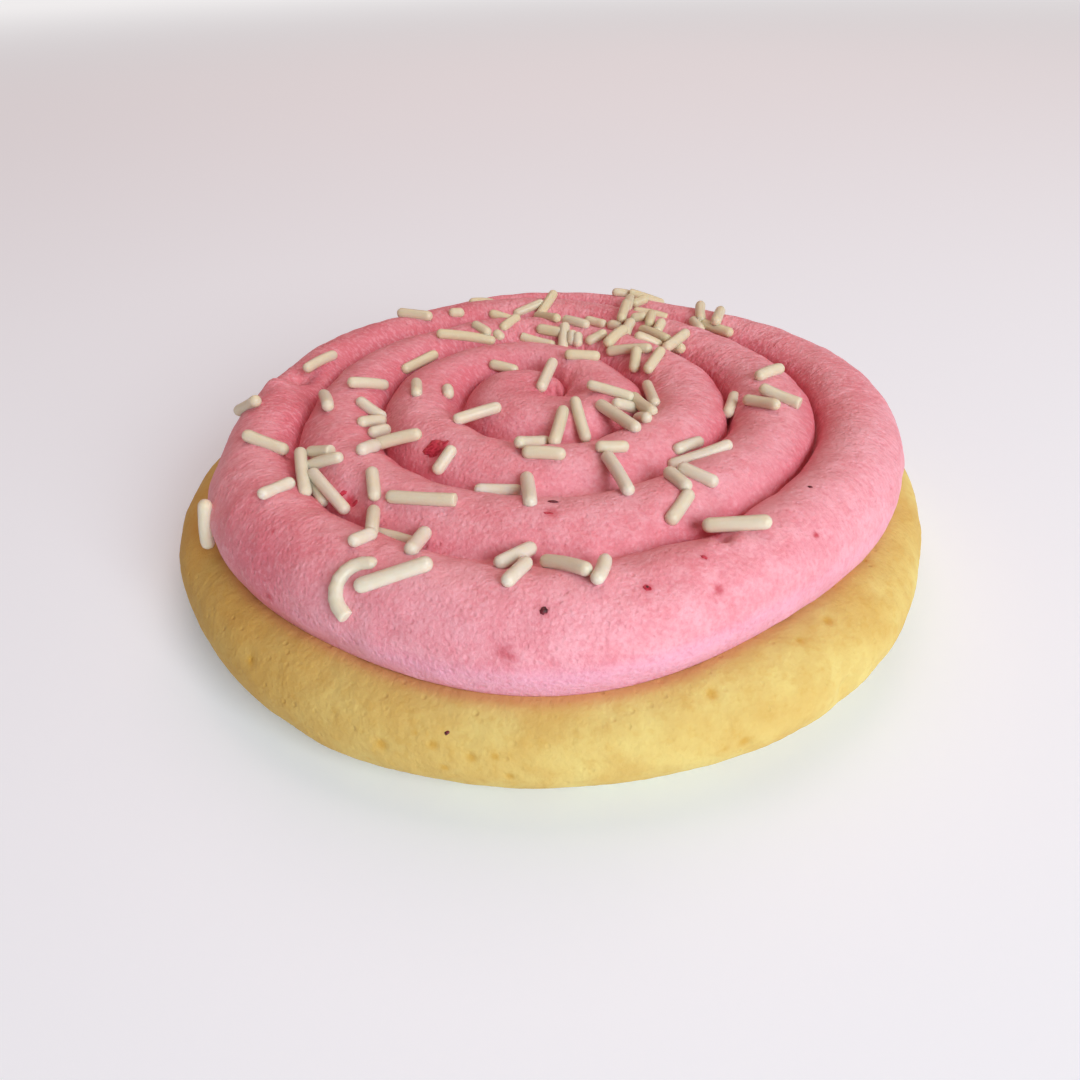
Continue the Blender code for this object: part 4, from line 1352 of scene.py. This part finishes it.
SEED_FLATNESS, SEED_DRAW = 0.7, 42


def bits_object(name, bits_on, finish, flatness, seed):
    """Flattened balls set in the pieces: a sphere's rings, uneven by chance, laid on the surface.

    A bit is a pixel, its length and width in millimetres, and how far it is turned, in degrees.
    """
    draw = np.random.default_rng(seed)
    seen = [spots_seen(piece, [bit[:2] for bit in bits]) for piece, bits in bits_on]
    spots, normal = (np.concatenate(part) for part in zip(*seen))
    sizes = np.array([bit[2:] for _, bits in bits_on for bit in bits])[..., None]
    long, wide, turn = sizes[:, 0] * MM, sizes[:, 1] * MM, np.radians(sizes[:, 2])
    aside = unit(np.cross(normal, NEARLY_BACK))
    long_way = aside * np.cos(turn) + np.cross(normal, aside) * np.sin(turn)
    lean = np.linspace(-math.pi / 2, math.pi / 2, BIT_RINGS)[:, None]
    around = FULL_TURN * np.arange(BIT_SIDES)[None, :] / BIT_SIDES
    ball = round_axis(np.cos(lean), around, np.sin(lean))
    uneven = 1 + UNEVENNESS * draw.uniform(-1, 1, (len(spots), 1, BIT_SIDES)) * np.cos(lean)
    ball = ball * np.stack([uneven, uneven, np.ones_like(uneven)], axis=-1)
    ways = np.stack([long * long_way, wide * np.cross(normal, long_way), flatness * wide * normal], axis=1)
    made = join_rings(name, spots[:, None, None] + ball @ ways[:, None], finish)
    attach(made, "root")


bits_object("raspberry_pulp", ((frosting, PULP_BITS),), pulp, PULP_FLATNESS, PULP_DRAW)
seeds_on = ((frosting, SEEDS), (cookie, SPECKS_ON_DOUGH))
bits_object("raspberry_seeds", seeds_on, seed_skin, SEED_FLATNESS, SEED_DRAW)

# %% [markdown]
# ## Floor and light
#
# The cookie stands on a plain pale floor in soft studio light. The large key light hangs low at the
# front right: the picture's low walls are brightest there, and its left side is darker. A weaker warm
# one hangs high behind, and a warm dim sky lights the rest, since shadows between pink walls are warm.
# The colours are shown as they are, without a film look.

# %% Lay the floor and hang the lights
FLOOR_SIZE = 6.0
FLOOR_COLOUR = screen_colour(236, 243, 248)
FLOOR_SHADE = screen_colour(230, 238, 243)
FLOOR_GLOW = (0.09, 0.13, 0.17, 1.0)
FAR_GLOW = (0.62, 0.66, 0.68, 1.0)
GLOW_FROM, GLOW_TO = 0.15, 1.8
BACKDROP = screen_colour(228, 232, 235)
SKY_STRENGTH = 0.28
WARM_LIGHT = (1.0, 0.68, 0.58)
COOL_LIGHT = (0.93, 1.0, 1.04)
KEY = {"place": (0.43, -0.615, 0.40), "size": 0.45, "power": 6.1, "colour": COOL_LIGHT}
FAR = {"place": (0.05, 0.425, 0.736), "size": 0.60, "power": 2.3, "colour": WARM_LIGHT}


def floor_finish():
    """Pale and matt. It glows a little, most far away where the lamps fade: painted light."""
    made, tree, shader, place = new_finish("pale_floor", FLOOR_COLOUR, roughness=0.9)
    shade = blotched(tree, place, scale=3.0, low=0.3, high=0.7)
    feed_colour(tree, shader, FLOOR_COLOUR, ((shade, (0.0, 0.1), FLOOR_SHADE),))
    away = add(tree, "VectorMath", {0: place}, operation="LENGTH").outputs["Value"]
    glow = blend(tree, stretch(tree, away, 0.0, 1.0, GLOW_FROM, GLOW_TO), FLOOR_GLOW, FAR_GLOW)
    tree.links.new(glow, shader.inputs["Emission Color"])
    shader.inputs["Emission Strength"].default_value = 1.0
    return made


def lay_floor():
    """A flat square, level with the cookie's underside."""
    half = FLOOR_SIZE / 2
    mesh = bpy.data.meshes.new("floor")
    mesh.from_pydata([(-half, -half, 0), (half, -half, 0), (half, half, 0), (-half, half, 0)], [], [range(4)])
    object_of("floor", mesh, floor_finish())


def hang_light(name, place, size, power, colour):
    """A square area light that looks at the cookie."""
    light = bpy.data.lights.new(name, "AREA")
    light.energy, light.size, light.color = power, size, colour
    back = unit(np.array(place))
    side = unit(np.cross([0.0, 0.0, 1.0], back))
    stand(name, light, (side, np.cross(back, side), back), place)


def studio_world():
    """A warm dim sky that lights the cookie, and a pale backdrop where the eye sees past the floor."""
    world = bpy.data.worlds.new("studio")
    world.use_nodes = True
    tree = world.node_tree
    sky = tree.nodes["Background"]
    sky.inputs["Color"].default_value = (*WARM_LIGHT, 1)
    sky.inputs["Strength"].default_value = SKY_STRENGTH
    backdrop = add(tree, "Background", {"Color": BACKDROP})
    seen = add(tree, "LightPath").outputs["Is Camera Ray"]
    both = add(tree, "MixShader", {0: seen, 1: sky.outputs[0], 2: backdrop.outputs[0]})
    tree.links.new(both.outputs[0], tree.nodes["World Output"].inputs["Surface"])
    return world


lay_floor()
hang_light("key", **KEY)
hang_light("far", **FAR)
bpy.context.scene.world = studio_world()
bpy.context.scene.view_settings.view_transform = "Standard"
bpy.context.scene.view_settings.look = "None"
print("floor laid, 2 lights hung")
